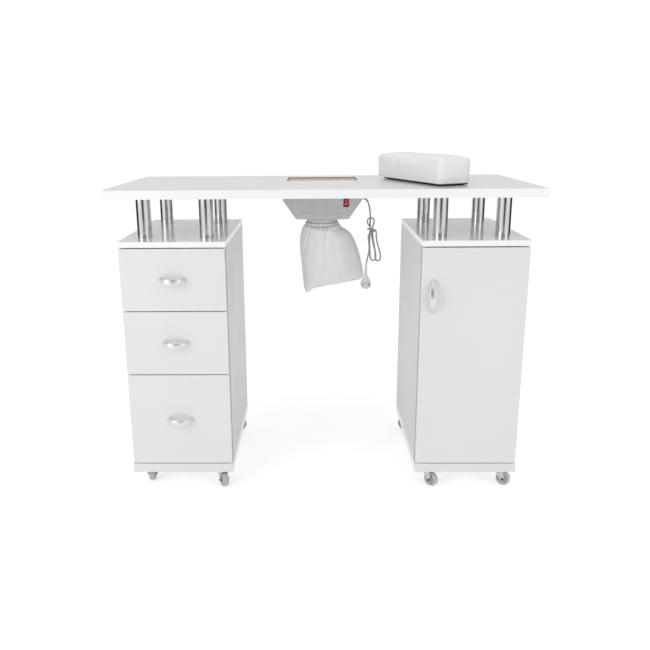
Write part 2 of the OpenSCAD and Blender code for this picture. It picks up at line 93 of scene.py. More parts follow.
def mesh_obj(name, verts, faces, smooth=True):
    me = bpy.data.meshes.new(name)
    me.from_pydata([tuple(v) for v in verts], [], [tuple(f) for f in faces])
    me.update()
    me.validate()
    if smooth:
        me.polygons.foreach_set("use_smooth", [True] * len(me.polygons))
    bm = bmesh.new()
    bm.from_mesh(me)
    bmesh.ops.recalc_face_normals(bm, faces=bm.faces)
    bm.to_mesh(me)
    bm.free()
    return link(name, me)


class Builder:
    """Collects verts and faces, with a material index per face."""

    def __init__(self):
        self.v, self.f, self.m = [], [], []

    def add(self, verts, faces, mat=0):
        o = len(self.v)
        self.v += [tuple(p) for p in verts]
        self.f += [tuple(i + o for i in f) for f in faces]
        self.m += [mat] * len(faces)

    def tube(self, path, rad, n=10, mat=0, cap=True, closed=False, squash=1.0):
        """A round tube along path; rad is one number or one for each point."""
        P = np.array(path, float)
        m = len(P)
        R = np.full(m, rad) if np.isscalar(rad) else np.array(rad, float)
        if closed:
            T = np.roll(P, -1, 0) - np.roll(P, 1, 0)
        else:
            T = np.gradient(P, axis=0)
        T /= np.linalg.norm(T, axis=1)[:, None] + 1e-12
        ref = np.array([0, 0, 1.0]) if abs(T[0][2]) < 0.9 else np.array([0, 1.0, 0])
        u = np.cross(T[0], ref)
        u /= np.linalg.norm(u)
        vs = []
        for i in range(m):
            u = u - T[i] * np.dot(u, T[i])
            u /= np.linalg.norm(u) + 1e-12
            w = np.cross(T[i], u)
            for k in range(n):
                a = 2 * math.pi * k / n
                vs.append(P[i] + R[i] * (math.cos(a) * u + squash * math.sin(a) * w))
        fs = []
        rows = m if closed else m - 1
        for i in range(rows):
            for k in range(n):
                a, b = i * n + k, i * n + (k + 1) % n
                c, d = ((i + 1) % m) * n + (k + 1) % n, ((i + 1) % m) * n + k
                fs.append((a, b, c, d))
        if cap and not closed:
            fs.append(tuple(range(n - 1, -1, -1)))
            fs.append(tuple((m - 1) * n + k for k in range(n)))
        self.add(vs, fs, mat)

    def lathe(self, profile, n=48, mat=0, M=None, closed=True):
        """profile: (radius, height) pairs, turned about Z; M places it."""
        vs, fs = [], []
        m = len(profile)
        for k in range(n):
            a = 2 * math.pi * k / n
            for r, z in profile:
                p = Vector((r * math.cos(a), r * math.sin(a), z))
                vs.append(tuple(M @ p) if M is not None else tuple(p))
        for k in range(n):
            k2 = (k + 1) % n
            for i in range(m if closed else m - 1):
                j = (i + 1) % m
                fs.append((k * m + i, k * m + j, k2 * m + j, k2 * m + i))
        self.add(vs, fs, mat)

    def obj(self, name, mats, smooth=True):
        me = bpy.data.meshes.new(name)
        me.from_pydata(self.v, [], self.f)
        for mt in mats:
            me.materials.append(mt)
        me.polygons.foreach_set("material_index", self.m)
        me.polygons.foreach_set("use_smooth", [smooth] * len(me.polygons))
        bm = bmesh.new()
        bm.from_mesh(me)
        bmesh.ops.remove_doubles(bm, verts=bm.verts, dist=1e-6)
        bmesh.ops.dissolve_degenerate(bm, edges=bm.edges, dist=1e-7)
        bmesh.ops.recalc_face_normals(bm, faces=bm.faces)
        bm.to_mesh(me)
        bm.free()
        me.update()
        return link(name, me)


def modifier(o, kind, name, **kw):
    m = o.modifiers.new(name, kind)
    for k, v in kw.items():
        setattr(m, k, v)
    return m


def place(o, body, slot_name=None, *nodes):
    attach(o, body)
    if nodes:
        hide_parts(*nodes)
    return o


# ------------------------------------------------------------------ node materials
def material(name, color, rough=0.5, metal=0.0, coat=0.0, coat_rough=0.08, spec=0.5, sheen=0.0, ior=1.5):
    m = bpy.data.materials.new(name)
    m.use_nodes = True
    nt = m.node_tree
    b = nt.nodes["Principled BSDF"]
    b.inputs["Base Color"].default_value = (*color, 1)
    b.inputs["Roughness"].default_value = rough
    b.inputs["Metallic"].default_value = metal
    b.inputs["IOR"].default_value = ior
    b.inputs["Specular IOR Level"].default_value = spec
    b.inputs["Coat Weight"].default_value = coat
    b.inputs["Coat Roughness"].default_value = coat_rough
    b.inputs["Sheen Weight"].default_value = sheen
    m.diffuse_color = (*color, 1)
    return m


def nodes_of(m):
    return m.node_tree, m.node_tree.nodes["Principled BSDF"]


def coords(nt, scale=(1, 1, 1)):
    t = nt.nodes.new("ShaderNodeTexCoord")
    mp = nt.nodes.new("ShaderNodeMapping")
    mp.inputs["Scale"].default_value = scale
    nt.links.new(t.outputs["Object"], mp.inputs["Vector"])
    return mp.outputs["Vector"]


def noise(nt, vec, scale, detail=3.0, rough=0.5, dist=0.0):
    n = nt.nodes.new("ShaderNodeTexNoise")
    n.inputs["Scale"].default_value = scale
    n.inputs["Detail"].default_value = detail
    n.inputs["Roughness"].default_value = rough
    n.inputs["Distortion"].default_value = dist
    nt.links.new(vec, n.inputs["Vector"])
    return n.outputs["Fac"]


def voronoi(nt, vec, scale, feature="F1", out="Distance"):
    n = nt.nodes.new("ShaderNodeTexVoronoi")
    n.feature = feature
    n.inputs["Scale"].default_value = scale
    nt.links.new(vec, n.inputs["Vector"])
    return n.outputs[out]


def ramp(nt, fac, stops):
    r = nt.nodes.new("ShaderNodeValToRGB")
    e = r.color_ramp.elements
    while len(e) > 1:
        e.remove(e[-1])
    for i, (p, c) in enumerate(stops):
        el = e[0] if i == 0 else e.new(p)
        el.position = p
        el.color = (*c, 1) if hasattr(c, "__len__") else (c, c, c, 1)
    nt.links.new(fac, r.inputs["Fac"])
    return r.outputs["Color"]


def span(nt, fac, lo, hi, f0=0.3, f1=0.7):
    r = nt.nodes.new("ShaderNodeMapRange")
    r.inputs["From Min"].default_value = f0
    r.inputs["From Max"].default_value = f1
    r.inputs["To Min"].default_value = lo
    r.inputs["To Max"].default_value = hi
    nt.links.new(fac, r.inputs["Value"])
    return r.outputs["Result"]


def math_node(nt, op, a, b=None):
    n = nt.nodes.new("ShaderNodeMath")
    n.operation = op
    for i, x in enumerate((a, b)):
        if x is None:
            continue
        if isinstance(x, (int, float)):
            n.inputs[i].default_value = x
        else:
            nt.links.new(x, n.inputs[i])
    return n.outputs[0]


def mix_col(nt, fac, a, b):
    n = nt.nodes.new("ShaderNodeMix")
    n.data_type = "RGBA"
    nt.links.new(fac, n.inputs[0])
    for sock, x in ((n.inputs[6], a), (n.inputs[7], b)):
        if hasattr(x, "__len__"):
            sock.default_value = (*x, 1)
        else:
            nt.links.new(x, sock)
    return n.outputs[2]


def bump(nt, bsdf, height, strength, distance, prev=None):
    b = nt.nodes.new("ShaderNodeBump")
    b.inputs["Strength"].default_value = strength
    b.inputs["Distance"].default_value = distance
    nt.links.new(height, b.inputs["Height"])
    if prev is not None:
        nt.links.new(prev, b.inputs["Normal"])
    nt.links.new(b.outputs["Normal"], bsdf.inputs["Normal"])
    return b.outputs["Normal"]


def laminate(name, base, gloss, coat, spec=0.5, band=None, face="Y"):
    """White melamine: faint cloudiness, a fine orange peel, and wiped-clean variation in the gloss."""
    m = material(name, base, gloss, coat=coat, coat_rough=0.06, spec=spec)
    nt, b = nodes_of(m)
    v = coords(nt)
    lo, hi = tuple(c * 0.965 for c in base), tuple(min(1, c * 1.03) for c in base)
    tone = ramp(nt, noise(nt, v, 4, 2, 0.5), [(0.0, lo), (1.0, hi)])
    if band:
        # the glued edge strips are a brighter white than the faces
        g = nt.nodes.new("ShaderNodeNewGeometry")
        sep = nt.nodes.new("ShaderNodeSeparateXYZ")
        nt.links.new(g.outputs["True Normal"], sep.inputs[0])
        off = math_node(nt, "LESS_THAN", math_node(nt, "ABSOLUTE", sep.outputs[face]), 0.6)
        tone = mix_col(nt, off, tone, band)
    nt.links.new(tone, b.inputs["Base Color"])
    nt.links.new(span(nt, noise(nt, v, 5, 2, 0.5), gloss * 0.75, gloss * 1.25, 0.0, 1.0), b.inputs["Roughness"])
    bump(nt, b, noise(nt, v, 420, 2, 0.5), 0.05, 0.00005)
    return m


def brushed(name, base, rough, vec_scale, amount=0.35, contrast=0.1):
    """Ground or drawn metal: very long noise along one direction."""
    m = material(name, base, rough, metal=1.0)
    nt, b = nodes_of(m)
    v = coords(nt, vec_scale)
    g = noise(nt, v, 1.0, 6, 0.7)
    big = noise(nt, coords(nt), 22, 3, 0.5)
    lo = tuple(c * (1 - contrast) for c in base)
    nt.links.new(mix_col(nt, g, lo, base), b.inputs["Base Color"])
    nt.links.new(span(nt, math_node(nt, "ADD", math_node(nt, "MULTIPLY", g, 0.6), math_node(nt, "MULTIPLY", big, 0.4)),
                      rough * (1 - amount), rough * (1 + amount)), b.inputs["Roughness"])
    bump(nt, b, g, 0.06, 0.00003)
    return m


def plastic(name, base, rough, grain=1800, depth=0.00006, strength=0.25, coat=0.0, blotch=0.04):
    """Moulded plastic with a spark-eroded grain and slight unevenness of colour."""
    m = material(name, base, rough, coat=coat)
    nt, b = nodes_of(m)
    v = coords(nt)
    lo, hi = tuple(c * (1 - blotch) for c in base), tuple(min(1, c * (1 + blotch)) for c in base)
    nt.links.new(ramp(nt, noise(nt, v, 40, 4, 0.6), [(0.3, lo), (0.7, hi)]), b.inputs["Base Color"])
    nt.links.new(span(nt, noise(nt, v, 90, 3, 0.6), rough * 0.88, min(1, rough * 1.12)), b.inputs["Roughness"])
    n1 = bump(nt, b, voronoi(nt, v, grain, "SMOOTH_F1"), strength, depth)
    bump(nt, b, noise(nt, v, grain * 0.4, 3), strength * 0.5, depth, n1)
    return m


M = {}
M["laminate"] = laminate("white_laminate_front", (0.768, 0.770, 0.780), 0.20, 0.25, band=(0.87, 0.87, 0.875))
M["laminate_top"] = laminate("white_laminate_top", (0.80, 0.80, 0.805), 0.20, 0.30, band=(0.93, 0.93, 0.935), face="Z")
# painted shade: the side panels, backs and shelf get a greyer white than the fronts and tops, for the shade on faces
# turned away from the lamps
M["laminate_side"] = laminate("white_laminate_side_painted_shade", (0.63, 0.63, 0.637), 0.30, 0.0, 0.4)
M["drawer"] = laminate("white_melamine_inside", (0.72, 0.72, 0.71), 0.42, 0.0)
M["tube"] = brushed("steel_tube_brushed", (0.74, 0.735, 0.725), 0.15, (9, 9, 2600), 0.4, 0.08)
M["zinc"] = brushed("zinc_steel_drawn", (0.62, 0.63, 0.65), 0.33, (240, 240, 900), 0.3, 0.18)
M["handle"] = brushed("satin_nickel", (0.82, 0.82, 0.83), 0.40, (700, 300, 1400), 0.25, 0.06)
M["abs"] = plastic("grey_abs_grain", (0.555, 0.558, 0.570), 0.46)
M["collar"] = plastic("grey_abs_collar", (0.66, 0.663, 0.675), 0.40)
# painted highlight: the bead's grey is lighter than the housing's, for the light caught on its crest
M["bead"] = plastic("grey_abs_bead_painted_highlight", (0.76, 0.765, 0.77), 0.35)
M["black"] = plastic("black_moulding", (0.022, 0.022, 0.023), 0.42)
M["board_black"] = plastic("black_base_board", (0.02, 0.02, 0.02), 0.6, 900, 0.0001)
M["red"] = plastic("red_rocker", (0.78, 0.015, 0.02), 0.18, 1500, 0.00002, 0.05, 0.6)
M["mark"] = plastic("rocker_mark_white", (0.85, 0.75, 0.74), 0.4, 2500, 0.00002, 0.1)
M["trim"] = plastic("dark_bronze_trim", (0.075, 0.055, 0.045), 0.38, 2200, 0.00003, 0.12)
M["cord"] = plastic("cord_sheath", (0.40, 0.40, 0.40), 0.42, 1300, 0.00004, 0.12, 0.1, 0.06)
M["plug"] = plastic("plug_moulding", (0.80, 0.80, 0.83), 0.26, 1600, 0.00003, 0.08, 0.3, 0.02)
M["pin"] = brushed("plug_pin_nickel", (0.40, 0.39, 0.38), 0.25, (400, 400, 3000), 0.3, 0.12)
M["tie"] = plastic("cord_tie_pvc", (0.72, 0.72, 0.72), 0.45, 1500, 0.00004, 0.1)


def zinc_sheet(name):
    m = material(name, (0.68, 0.685, 0.70), 0.3, metal=1.0)
    nt, b = nodes_of(m)
    v = coords(nt)
    sp = voronoi(nt, v, 190, "F1", "Color")
    bw = nt.nodes.new("ShaderNodeRGBToBW")
    nt.links.new(sp, bw.inputs[0])
    nt.links.new(ramp(nt, bw.outputs[0], [(0.2, (0.52, 0.525, 0.54)), (0.8, (0.74, 0.745, 0.76))]), b.inputs["Base Color"])
    nt.links.new(span(nt, noise(nt, v, 300, 4), 0.22, 0.42), b.inputs["Roughness"])
    bump(nt, b, noise(nt, v, 1400, 3), 0.1, 0.00005)
    return m


M["zinc_sheet"] = zinc_sheet("zinc_plated_pressing")


def wheel_mat(name, base):
    m = plastic(name, base, 0.5, 1400, 0.00006, 0.2, 0.0, 0.08)
    return m


M["wheel"] = wheel_mat("caster_wheel_grey", (0.50, 0.50, 0.505))
M["hub"] = plastic("caster_hub_dark", (0.10, 0.10, 0.105), 0.5)


def copper():
    m = material("copper_mesh_strands_painted_shade_and_highlight", (0.62, 0.46, 0.37), 0.34, metal=0.85)
    nt, b = nodes_of(m)
    v = coords(nt)
    base = ramp(nt, noise(nt, v, 260, 4, 0.65), [(0.25, (0.46, 0.33, 0.26)), (0.6, (0.74, 0.58, 0.48)), (0.85, (0.86, 0.74, 0.65))])
    tc = nt.nodes.new("ShaderNodeTexCoord")
    sep = nt.nodes.new("ShaderNodeSeparateXYZ")
    nt.links.new(tc.outputs["Object"], sep.inputs[0])
    # painted shade: an 8 mm wave along x darkens the strands in its troughs, most strongly towards the front and rear
    # edges
    wave = math_node(nt, "SINE", math_node(nt, "MULTIPLY", sep.outputs["X"], 2 * math.pi / 0.008))
    edge = span(nt, math_node(nt, "ABSOLUTE", math_node(nt, "SUBTRACT", sep.outputs["Y"], 0.1)), 0.35, 1.0, 0.030, 0.058)
    painted_trough_shade = math_node(nt, "MULTIPLY", span(nt, wave, 0.0, 0.85, -0.2, 0.8), edge)
    # painted shade darkens the rear strip of the mesh and a painted highlight lightens its front strip; (0.17, 0.115,
    # 0.09) is the painted shade colour
    back = span(nt, sep.outputs["Y"], 0.0, 0.80, 0.112, 0.156)
    front = span(nt, sep.outputs["Y"], 0.55, 0.0, 0.040, 0.085)
    base = mix_col(nt, front, base, (0.90, 0.84, 0.79))
    nt.links.new(mix_col(nt, math_node(nt, "MAXIMUM", painted_trough_shade, back), base, (0.17, 0.115, 0.09)), b.inputs["Base Color"])
    nt.links.new(span(nt, noise(nt, v, 900, 3), 0.26, 0.5), b.inputs["Roughness"])
    bump(nt, b, noise(nt, v, 2200, 3), 0.2, 0.00005)
    return m


M["copper"] = copper()


def filter_cloth(z_from, z_to, r_in, r_out, deep):
    """Spun-bonded non-woven: bond dots on a small grid, over loose fibres, with painted shade that deepens inward of
    r_out and upward through z_from to z_to, in the gathered folds under the collar.
    """
    m = material("filter_nonwoven_painted_fold_shade", (0.84, 0.84, 0.84), 0.86, sheen=0.25)
    nt, b = nodes_of(m)
    v = coords(nt)
    fib = noise(nt, coords(nt, (1.0, 1.0, 0.35)), 900, 6, 0.75, 0.8)
    cloud = noise(nt, v, 34, 4, 0.6)
    tone = ramp(nt, math_node(nt, "ADD", math_node(nt, "MULTIPLY", fib, 0.5), math_node(nt, "MULTIPLY", cloud, 0.5)),
                [(0.3, (0.87, 0.87, 0.873)), (0.7, (0.95, 0.95, 0.95))])
    tc = nt.nodes.new("ShaderNodeTexCoord")
    sep = nt.nodes.new("ShaderNodeSeparateXYZ")
    nt.links.new(tc.outputs["Object"], sep.inputs[0])
    yy = math_node(nt, "SUBTRACT", sep.outputs["Y"], 0.1)
    rr = math_node(nt, "SQRT", math_node(nt, "ADD", math_node(nt, "MULTIPLY", sep.outputs["X"], sep.outputs["X"]),
                                         math_node(nt, "MULTIPLY", yy, yy)))
    # painted shade: the inner, upper folds near the collar are mixed towards dark grey by up to deep
    inside = span(nt, rr, 1.0, 0.0, r_in, r_out)
    high = span(nt, sep.outputs["Z"], 0.0, deep, z_from, z_to)
    nt.links.new(mix_col(nt, math_node(nt, "MULTIPLY", inside, high), tone, (0.20, 0.20, 0.205)), b.inputs["Base Color"])
    dots = voronoi(nt, v, 520)
    n1 = bump(nt, b, dots, 0.32, 0.00018)
    bump(nt, b, fib, 0.35, 0.00016, n1)
    b.inputs["Subsurface Weight"].default_value = 0.12
    b.inputs["Subsurface Radius"].default_value = (0.004, 0.004, 0.004)
    return m


# both cloths carry painted shade in the gathers under the collar
M["cloth"] = filter_cloth(0.682, 0.696, 0.0465, 0.0525, 0.75)
M["hem"] = filter_cloth(0.6965, 0.7045, 0.0470, 0.0500, 0.65)
M["hem"].name = "elastic_hem_cloth_painted_fold_shade"


def leather():
    m = material("white_leatherette", (0.84, 0.84, 0.835), 0.40, sheen=0.05, coat=0.12, coat_rough=0.25)
    nt, b = nodes_of(m)
    v = coords(nt)
    cells = voronoi(nt, v, 780, "DISTANCE_TO_EDGE")
    crease = ramp(nt, cells, [(0.0, 0.0), (0.16, 1.0)])
    bw = nt.nodes.new("ShaderNodeRGBToBW")
    nt.links.new(crease, bw.inputs[0])
    tone = noise(nt, v, 26, 4, 0.6)
    nt.links.new(mix_col(nt, bw.outputs[0], (0.86, 0.857, 0.85), ramp(nt, tone, [(0.3, (0.89, 0.89, 0.884)), (0.7, (0.92, 0.92, 0.916))])), b.inputs["Base Color"])
    nt.links.new(span(nt, noise(nt, v, 160, 4), 0.33, 0.48), b.inputs["Roughness"])
    n1 = bump(nt, b, bw.outputs[0], 0.30, 0.00012)
    bump(nt, b, noise(nt, v, 1600, 3), 0.2, 0.00006, n1)
    return m


M["leather"] = leather()
M["thread"] = plastic("stitch_thread", (0.70, 0.70, 0.69), 0.7, 3000, 0.00003, 0.2)
M["piping"] = M["leather"]


# ------------------------------------------------------------------ the cord, first
def catmull(points, step=1.0):
    P = np.array(points, float)
    out = []
    Q = np.vstack([2 * P[0] - P[1], P, 2 * P[-1] - P[-2]])
    for i in range(1, len(Q) - 2):
        a, b, c, d = Q[i - 1:i + 3]
        n = max(2, int(np.linalg.norm(c - b) / step))
        for t in np.arange(n) / n:
            out.append(0.5 * ((2 * b) + (c - a) * t + (2 * a - 5 * b + 4 * c - d) * t * t
                              + (3 * b - a - 3 * c + d) * t ** 3))
    out.append(P[-1])
    return np.array(out)


def resample(C, n):
    s = np.r_[0, np.cumsum(np.linalg.norm(np.diff(C, axis=0), axis=1))]
    t = np.linspace(0, s[-1], n)
    return np.stack([np.interp(t, s, C[:, k]) for k in range(3)], 1), s[-1]


def fold(c, w, n=5):
    """A half turn that hangs down from centre c, w being half its width."""
    c, w = np.array(c, float), np.array(w, float)
    r = np.linalg.norm(w)
    return [tuple(c - w * math.cos(t) - np.array([0, 0, r]) * math.sin(t)) for t in np.linspace(0, math.pi, n + 2)]


CORD_D = 4.8
lead = [(119, 66, 779), (124, 66, 778.2), (130, 66, 773), (135, 66, 763), (138, 66, 750), (140, 66, 736), (141, 66, 721)]
route = list(lead)
# behind the eye, through the binding and down the first loop
route += [(140.8, 68.6, 708), (140.8, 70.0, 696), (140.9, 70.0, 684), (140.2, 70.6, 668), (139.8, 71.8, 650),
          (140.8, 72.6, 632), (141.8, 73.6, 616)]
route += fold((150.0, 66.4, 603.5), (7.9, -7.6, 0))
# up to the eye, over it, and down the second loop
route += [(157.2, 58.9, 616), (152.8, 60.6, 634), (148.6, 61.4, 652), (145.2, 61.6, 668), (143.2, 61.6, 683),
          (141.6, 61.6, 692), (136.4, 61.6, 699.5), (131.6, 61.4, 707), (131.2, 61.2, 714.5), (135.6, 61.1, 720.6),
          (141.9, 61.0, 722.6), (148.2, 61.1, 720.6), (152.4, 61.4, 714.5), (152.0, 62.0, 707), (148.8, 63.2, 699),
          (147.0, 64.6, 690.5), (147.2, 65.6, 682), (148.2, 67, 670), (150.4, 69.4, 656), (153.6, 71.6, 640),
          (156.2, 73.4, 626), (157.2, 74.2, 615)]
route += fold((164.4, 66.2, 602.5), (7.2, -8.2, 0))
route += [(171.2, 58.2, 614), (167.4, 59.6, 628), (163.0, 60.4, 643), (159.8, 61.4, 657), (158.8, 63.0, 669), (158.9, 63.6, 679)]
# wound about the bundle, then down to the plug
for ang, r, z in ((28, 14.6, 685.8), (58, 12.2, 688.2), (92, 11.2, 688.8), (135, 11, 688.4), (180, 10.9, 687.8),
                  (225, 10.9, 687.0), (270, 10.9, 686.0), (315, 10.9, 684.6), (360, 10.6, 682.8), (405, 10.6, 681.4),
                  (450, 11, 679.6), (486, 11.6, 676)):
    t = math.radians(ang)
    route.append((143.4 + r * math.cos(t), 66.0 - r * math.sin(t), z))
route += [(134.8, 60.2, 666), (136.4, 60.2, 653), (138.2, 60.1, 638), (137.8, 60, 624), (135.4, 60, 610),
          (132.2, 60, 596), (130.2, 60, 582), (129.2, 60, 570), (129, 60, 558)]
line, _ = resample(catmull(route), 620)
for _ in range(30):
    nxt = line.copy()
    nxt[1:-1] = 0.25 * line[:-2] + 0.5 * line[1:-1] + 0.25 * line[2:]
    line = nxt
line, cord_len = resample(line, 620)

cu = bpy.data.curves.new("power_cord_sheath", "CURVE")
cu.dimensions = "3D"
cu.bevel_depth = CORD_D / 2 * MM
cu.bevel_resolution = 5
cu.use_fill_caps = True
sp = cu.splines.new("POLY")
sp.points.add(len(line) - 1)
sp.points.foreach_set("co", np.c_[line * MM, np.ones(len(line))].ravel())
sp.use_smooth = True
cu.materials.append(M["cord"])
cord_obj = link("power_cord_sheath", cu)
place(cord_obj, "frame", "cord_pvc", "power_cord", "cord_hank")


# strain relief at the housing: a ribbed taper that follows the lead
def relief(name, pts, r0, r1, ribs, mat, flange=None):
    B = Builder()
    C, L = resample(np.array(pts), 90)
    t = np.linspace(0, 1, 90)
    r = r0 + (r1 - r0) * t
    if ribs:
        r = r - 0.42 * (np.mod(t * ribs, 1.0) > 0.62) * (t > 0.12) * (t < 0.97)
    r[0] *= 0.9
    r[-1] *= 0.86
    B.tube(C * MM, r * MM, 28)
    if flange:
        B.tube(flange[0] * MM, np.array(flange[1]) * MM, 32)
    return B.obj(name, [mat])


s_line = np.r_[0, np.cumsum(np.linalg.norm(np.diff(line, axis=0), axis=1))]
first = line[s_line < 17]
start = np.array([[112.0, 66, 779], [115.5, 66, 779]])
flange_c = np.array([[111.9, 66, 779], [112.3, 66, 779], [113.6, 66, 779], [114.0, 66, 779]])
gland = relief("cord_strain_relief", np.vstack([start, first]), 4.3, 2.75, 7, M["cord"], (flange_c, [5.6, 6.0, 6.0, 5.5]))
place(gland, "frame", "cord_pvc", "cord_gland")


# ------------------------------------------------------------------ plug
def plug_piece():
    B = Builder()
    cx, cz = 129.0, 524.0
    # body: a stack of rounded outlines through its thickness, y from 52 to 68
    def outline(grow):
        pts = []
        r = 16 + grow
        for k in range(72):
            a = 2 * math.pi * k / 72
            x, z = math.cos(a), math.sin(a)
            px, pz = r * x, r * z
            if z > 0:
                # drawn up into a neck
                f = z ** 2.2
                px = r * x * (1 - 0.50 * f)
                pz = r * z + 18 * f
            pts.append((px, pz))
        return pts
    layers = [(68.0, -5.2), (67.4, -2.6), (66.0, -0.9), (63.6, -0.1), (60.4, 0.0), (59.9, -0.5), (59.5, 0.0), (56.2, -0.1),
              (54.0, -0.9), (52.5, -2.6), (52.05, -5.0), (52.0, -6.2)]
    vs, fs = [], []
    for y, g in layers:
        vs += [((cx + p[0]) * MM, y * MM, (cz + p[1]) * MM) for p in outline(g)]
    n, m = 72, len(layers)
    for i in range(m - 1):
        for k in range(n):
            fs.append((i * n + k, i * n + (k + 1) % n, (i + 1) * n + (k + 1) % n, (i + 1) * n + k))
    # end faces, as a ring and a fan
    for i in (0, m - 1):
        ring = [i * n + k for k in range(n)]
        c = np.mean([vs[j] for j in ring], axis=0)
        inner = []
        for j in ring:
            vs.append(tuple(c + 0.55 * (np.array(vs[j]) - c)))
            inner.append(len(vs) - 1)
        vs.append(tuple(c))
        cc = len(vs) - 1
        for k in range(n):
            k2 = (k + 1) % n
            fs.append((ring[k], ring[k2], inner[k2], inner[k]))
            fs.append((inner[k], inner[k2], cc))
    B.add(vs, fs, 0)
    # grip ribs at both sides
    half = sorted((p[1], p[0]) for p in outline(0) if p[0] >= 0)

    def half_width(z):
        return float(np.interp(z, [h[0] for h in half], [h[1] for h in half]))
    for s in (-1, 1):
        for k in range(5):
            z = cz + 3 + 4.2 * k
            hw = half_width(z - cz)
            B.tube(np.array([[cx + s * (hw - 0.9), 55.4, z], [cx + s * (hw - 0.35), 57.4, z], [cx + s * (hw - 0.35), 62.6, z],
                             [cx + s * (hw - 0.9), 64.6, z]]) * MM, 0.55 * MM, 8)
    # collar, then the ribbed taper up the cord
    t = np.linspace(0, 1, 60)
    path = np.stack([129 + 1.2 * t ** 2, 60 + 0 * t, 556 + 27 * t], 1)
    rr = 5.0 - 2.05 * t - 0.5 * (np.mod(t * 8, 1.0) > 0.6) * (t > 0.1)
    rr[-1] *= 0.85
    B.tube(path * MM, rr * MM, 24)
    # pin sockets' raised plinth
    B.lathe([(0.0, 0), (8.2, 0), (8.2, 0.9), (7.6, 1.3), (0.0, 1.3)], 40, 0,
            Matrix.Translation((cx * MM, 51.9 * MM, cz * MM)) @ Matrix.Rotation(math.radians(90), 4, "X") @ Matrix.Scale(MM, 4), closed=False)
    # pins: insulated root, metal tip
    for s in (-1, 1):
        Mx = Matrix.Translation(((cx + s * 9.5) * MM, 52.4 * MM, cz * MM)) @ Matrix.Rotation(math.radians(90), 4, "X") @ Matrix.Scale(MM, 4)
        B.lathe([(0, 0), (2.5, 0), (2.3, 1.6), (0, 1.6)], 24, 0, Mx, closed=False)
        B.lathe([(0, 1.3), (2.0, 1.3), (2.0, 17.6), (1.75, 18.7), (1.1, 19.2), (0, 19.35)], 24, 1, Mx, closed=False)
    return B.obj("mains_plug", [M["plug"], M["pin"]])


plug = plug_piece()
place(plug, "frame", "plug_plastic", "plug")


# ------------------------------------------------------------------ carried-over CAD parts
def dress(node, mat, bevel=0.0, seg=2, angle=35, smooth=True):
    o = N[node]
    o.data.materials.clear()
    o.data.materials.append(mat)
    if bevel:
        o.data.polygons.foreach_set("use_smooth", [True] * len(o.data.polygons))
        modifier(o, "WELD", "weld", merge_threshold=2e-6)
        modifier(o, "DECIMATE", "planar", decimate_type="DISSOLVE", angle_limit=math.radians(0.6))
        modifier(o, "BEVEL", "soft_edges", width=bevel * MM, segments=seg, limit_method="ANGLE",
                 angle_limit=math.radians(angle), use_clamp_overlap=True, miter_outer="MITER_ARC", harden_normals=False)
        modifier(o, "WEIGHTED_NORMAL", "normals", keep_sharp=False, weight=80)
    return o


dress("tabletop", M["laminate_top"], 1.2, 3)
for n in ("left_cabinet_top", "right_cabinet_top"):
    dress(n, M["laminate_top"], 0.9, 2)
for n in ("left_cabinet_bottom", "right_cabinet_bottom"):
    dress(n, M["laminate"], 0.9, 2)
for n in ("drawer_1_front", "drawer_2_front", "drawer_3_front", "door_panel"):
    dress(n, M["laminate"], 0.9, 3)
# these boards take the painted-shade white
for n in ("left_cabinet_sides", "right_cabinet_sides", "left_cabinet_back", "right_cabinet_back", "right_cabinet_shelf"):
    dress(n, M["laminate_side"], 0.6, 2)
dress("support_tubes", M["tube"], 0.3, 2)
for n in ("tube_bolts", "cabinet_rails", "hinge_arms", "hinge_cups", "fan_motor"):
    dress(n, M["zinc"])
dress("caster_plates", M["zinc_sheet"])
dress("collector_housing", M["abs"], 1.0, 2, 30)
dress("outlet_collar", M["collar"], 0.8, 2)
dress("fan_frame", M["black"], 0.5, 2)
dress("fan_impeller", M["black"])
dress("switch_bezel", M["black"], 0.4, 2)
dress("switch_rocker", M["red"], 0.3, 2)
dress("vent_trim", M["trim"], 0.3, 2)
dress("armrest_base", M["board_black"], 0.8, 2)
for i in range(1, 9):
    dress(f"caster_fork_{i}", M["zinc_sheet"], 0.35, 2)


def drawer_mat():
    """White board, and bright steel where the runner's moving channel is."""
    m = laminate("drawer_board_and_runner", (0.76, 0.76, 0.755), 0.36, 0.0)
    nt, b = nodes_of(m)
    t = nt.nodes.new("ShaderNodeTexCoord")
    sep = nt.nodes.new("ShaderNodeSeparateXYZ")
    nt.links.new(t.outputs["Object"], sep.inputs[0])
    off = math_node(nt, "ABSOLUTE", math_node(nt, "ADD", sep.outputs["X"], 0.3875))
    mask = math_node(nt, "GREATER_THAN", off, 0.11002)
    base = b.inputs["Base Color"].links[0].from_socket
    nt.links.new(mix_col(nt, mask, base, (0.62, 0.63, 0.65)), b.inputs["Base Color"])
    nt.links.new(mask, b.inputs["Metallic"])
    return m


M["drawer_box"] = drawer_mat()
for i in (1, 2, 3):
    dress(f"drawer_{i}_box", M["drawer_box"])


def housing_bead():
    """The raised line round the front panel, in a lighter grey than the housing as a painted highlight along its crest.
    """
    B = Builder()
    pts = [(-97.8, 795.2), (-63.1, 739.8), (61.9, 739.8), (77.0, 759.0), (97.8, 795.2)]
    path = []
    for a, b in zip(pts[:-1], pts[1:]):
        for t in np.linspace(0, 1, 12, endpoint=False):
            path.append((a[0] + (b[0] - a[0]) * t, 18.75, a[1] + (b[1] - a[1]) * t))
    path.append((pts[-1][0], 18.75, pts[-1][1]))
    B.tube(np.array(path) * MM, 0.85 * MM, 10, 0, True, False)
    o = B.obj("housing_bead", [M["bead"]])
    place(o, "frame", "grey_abs")


housing_bead()


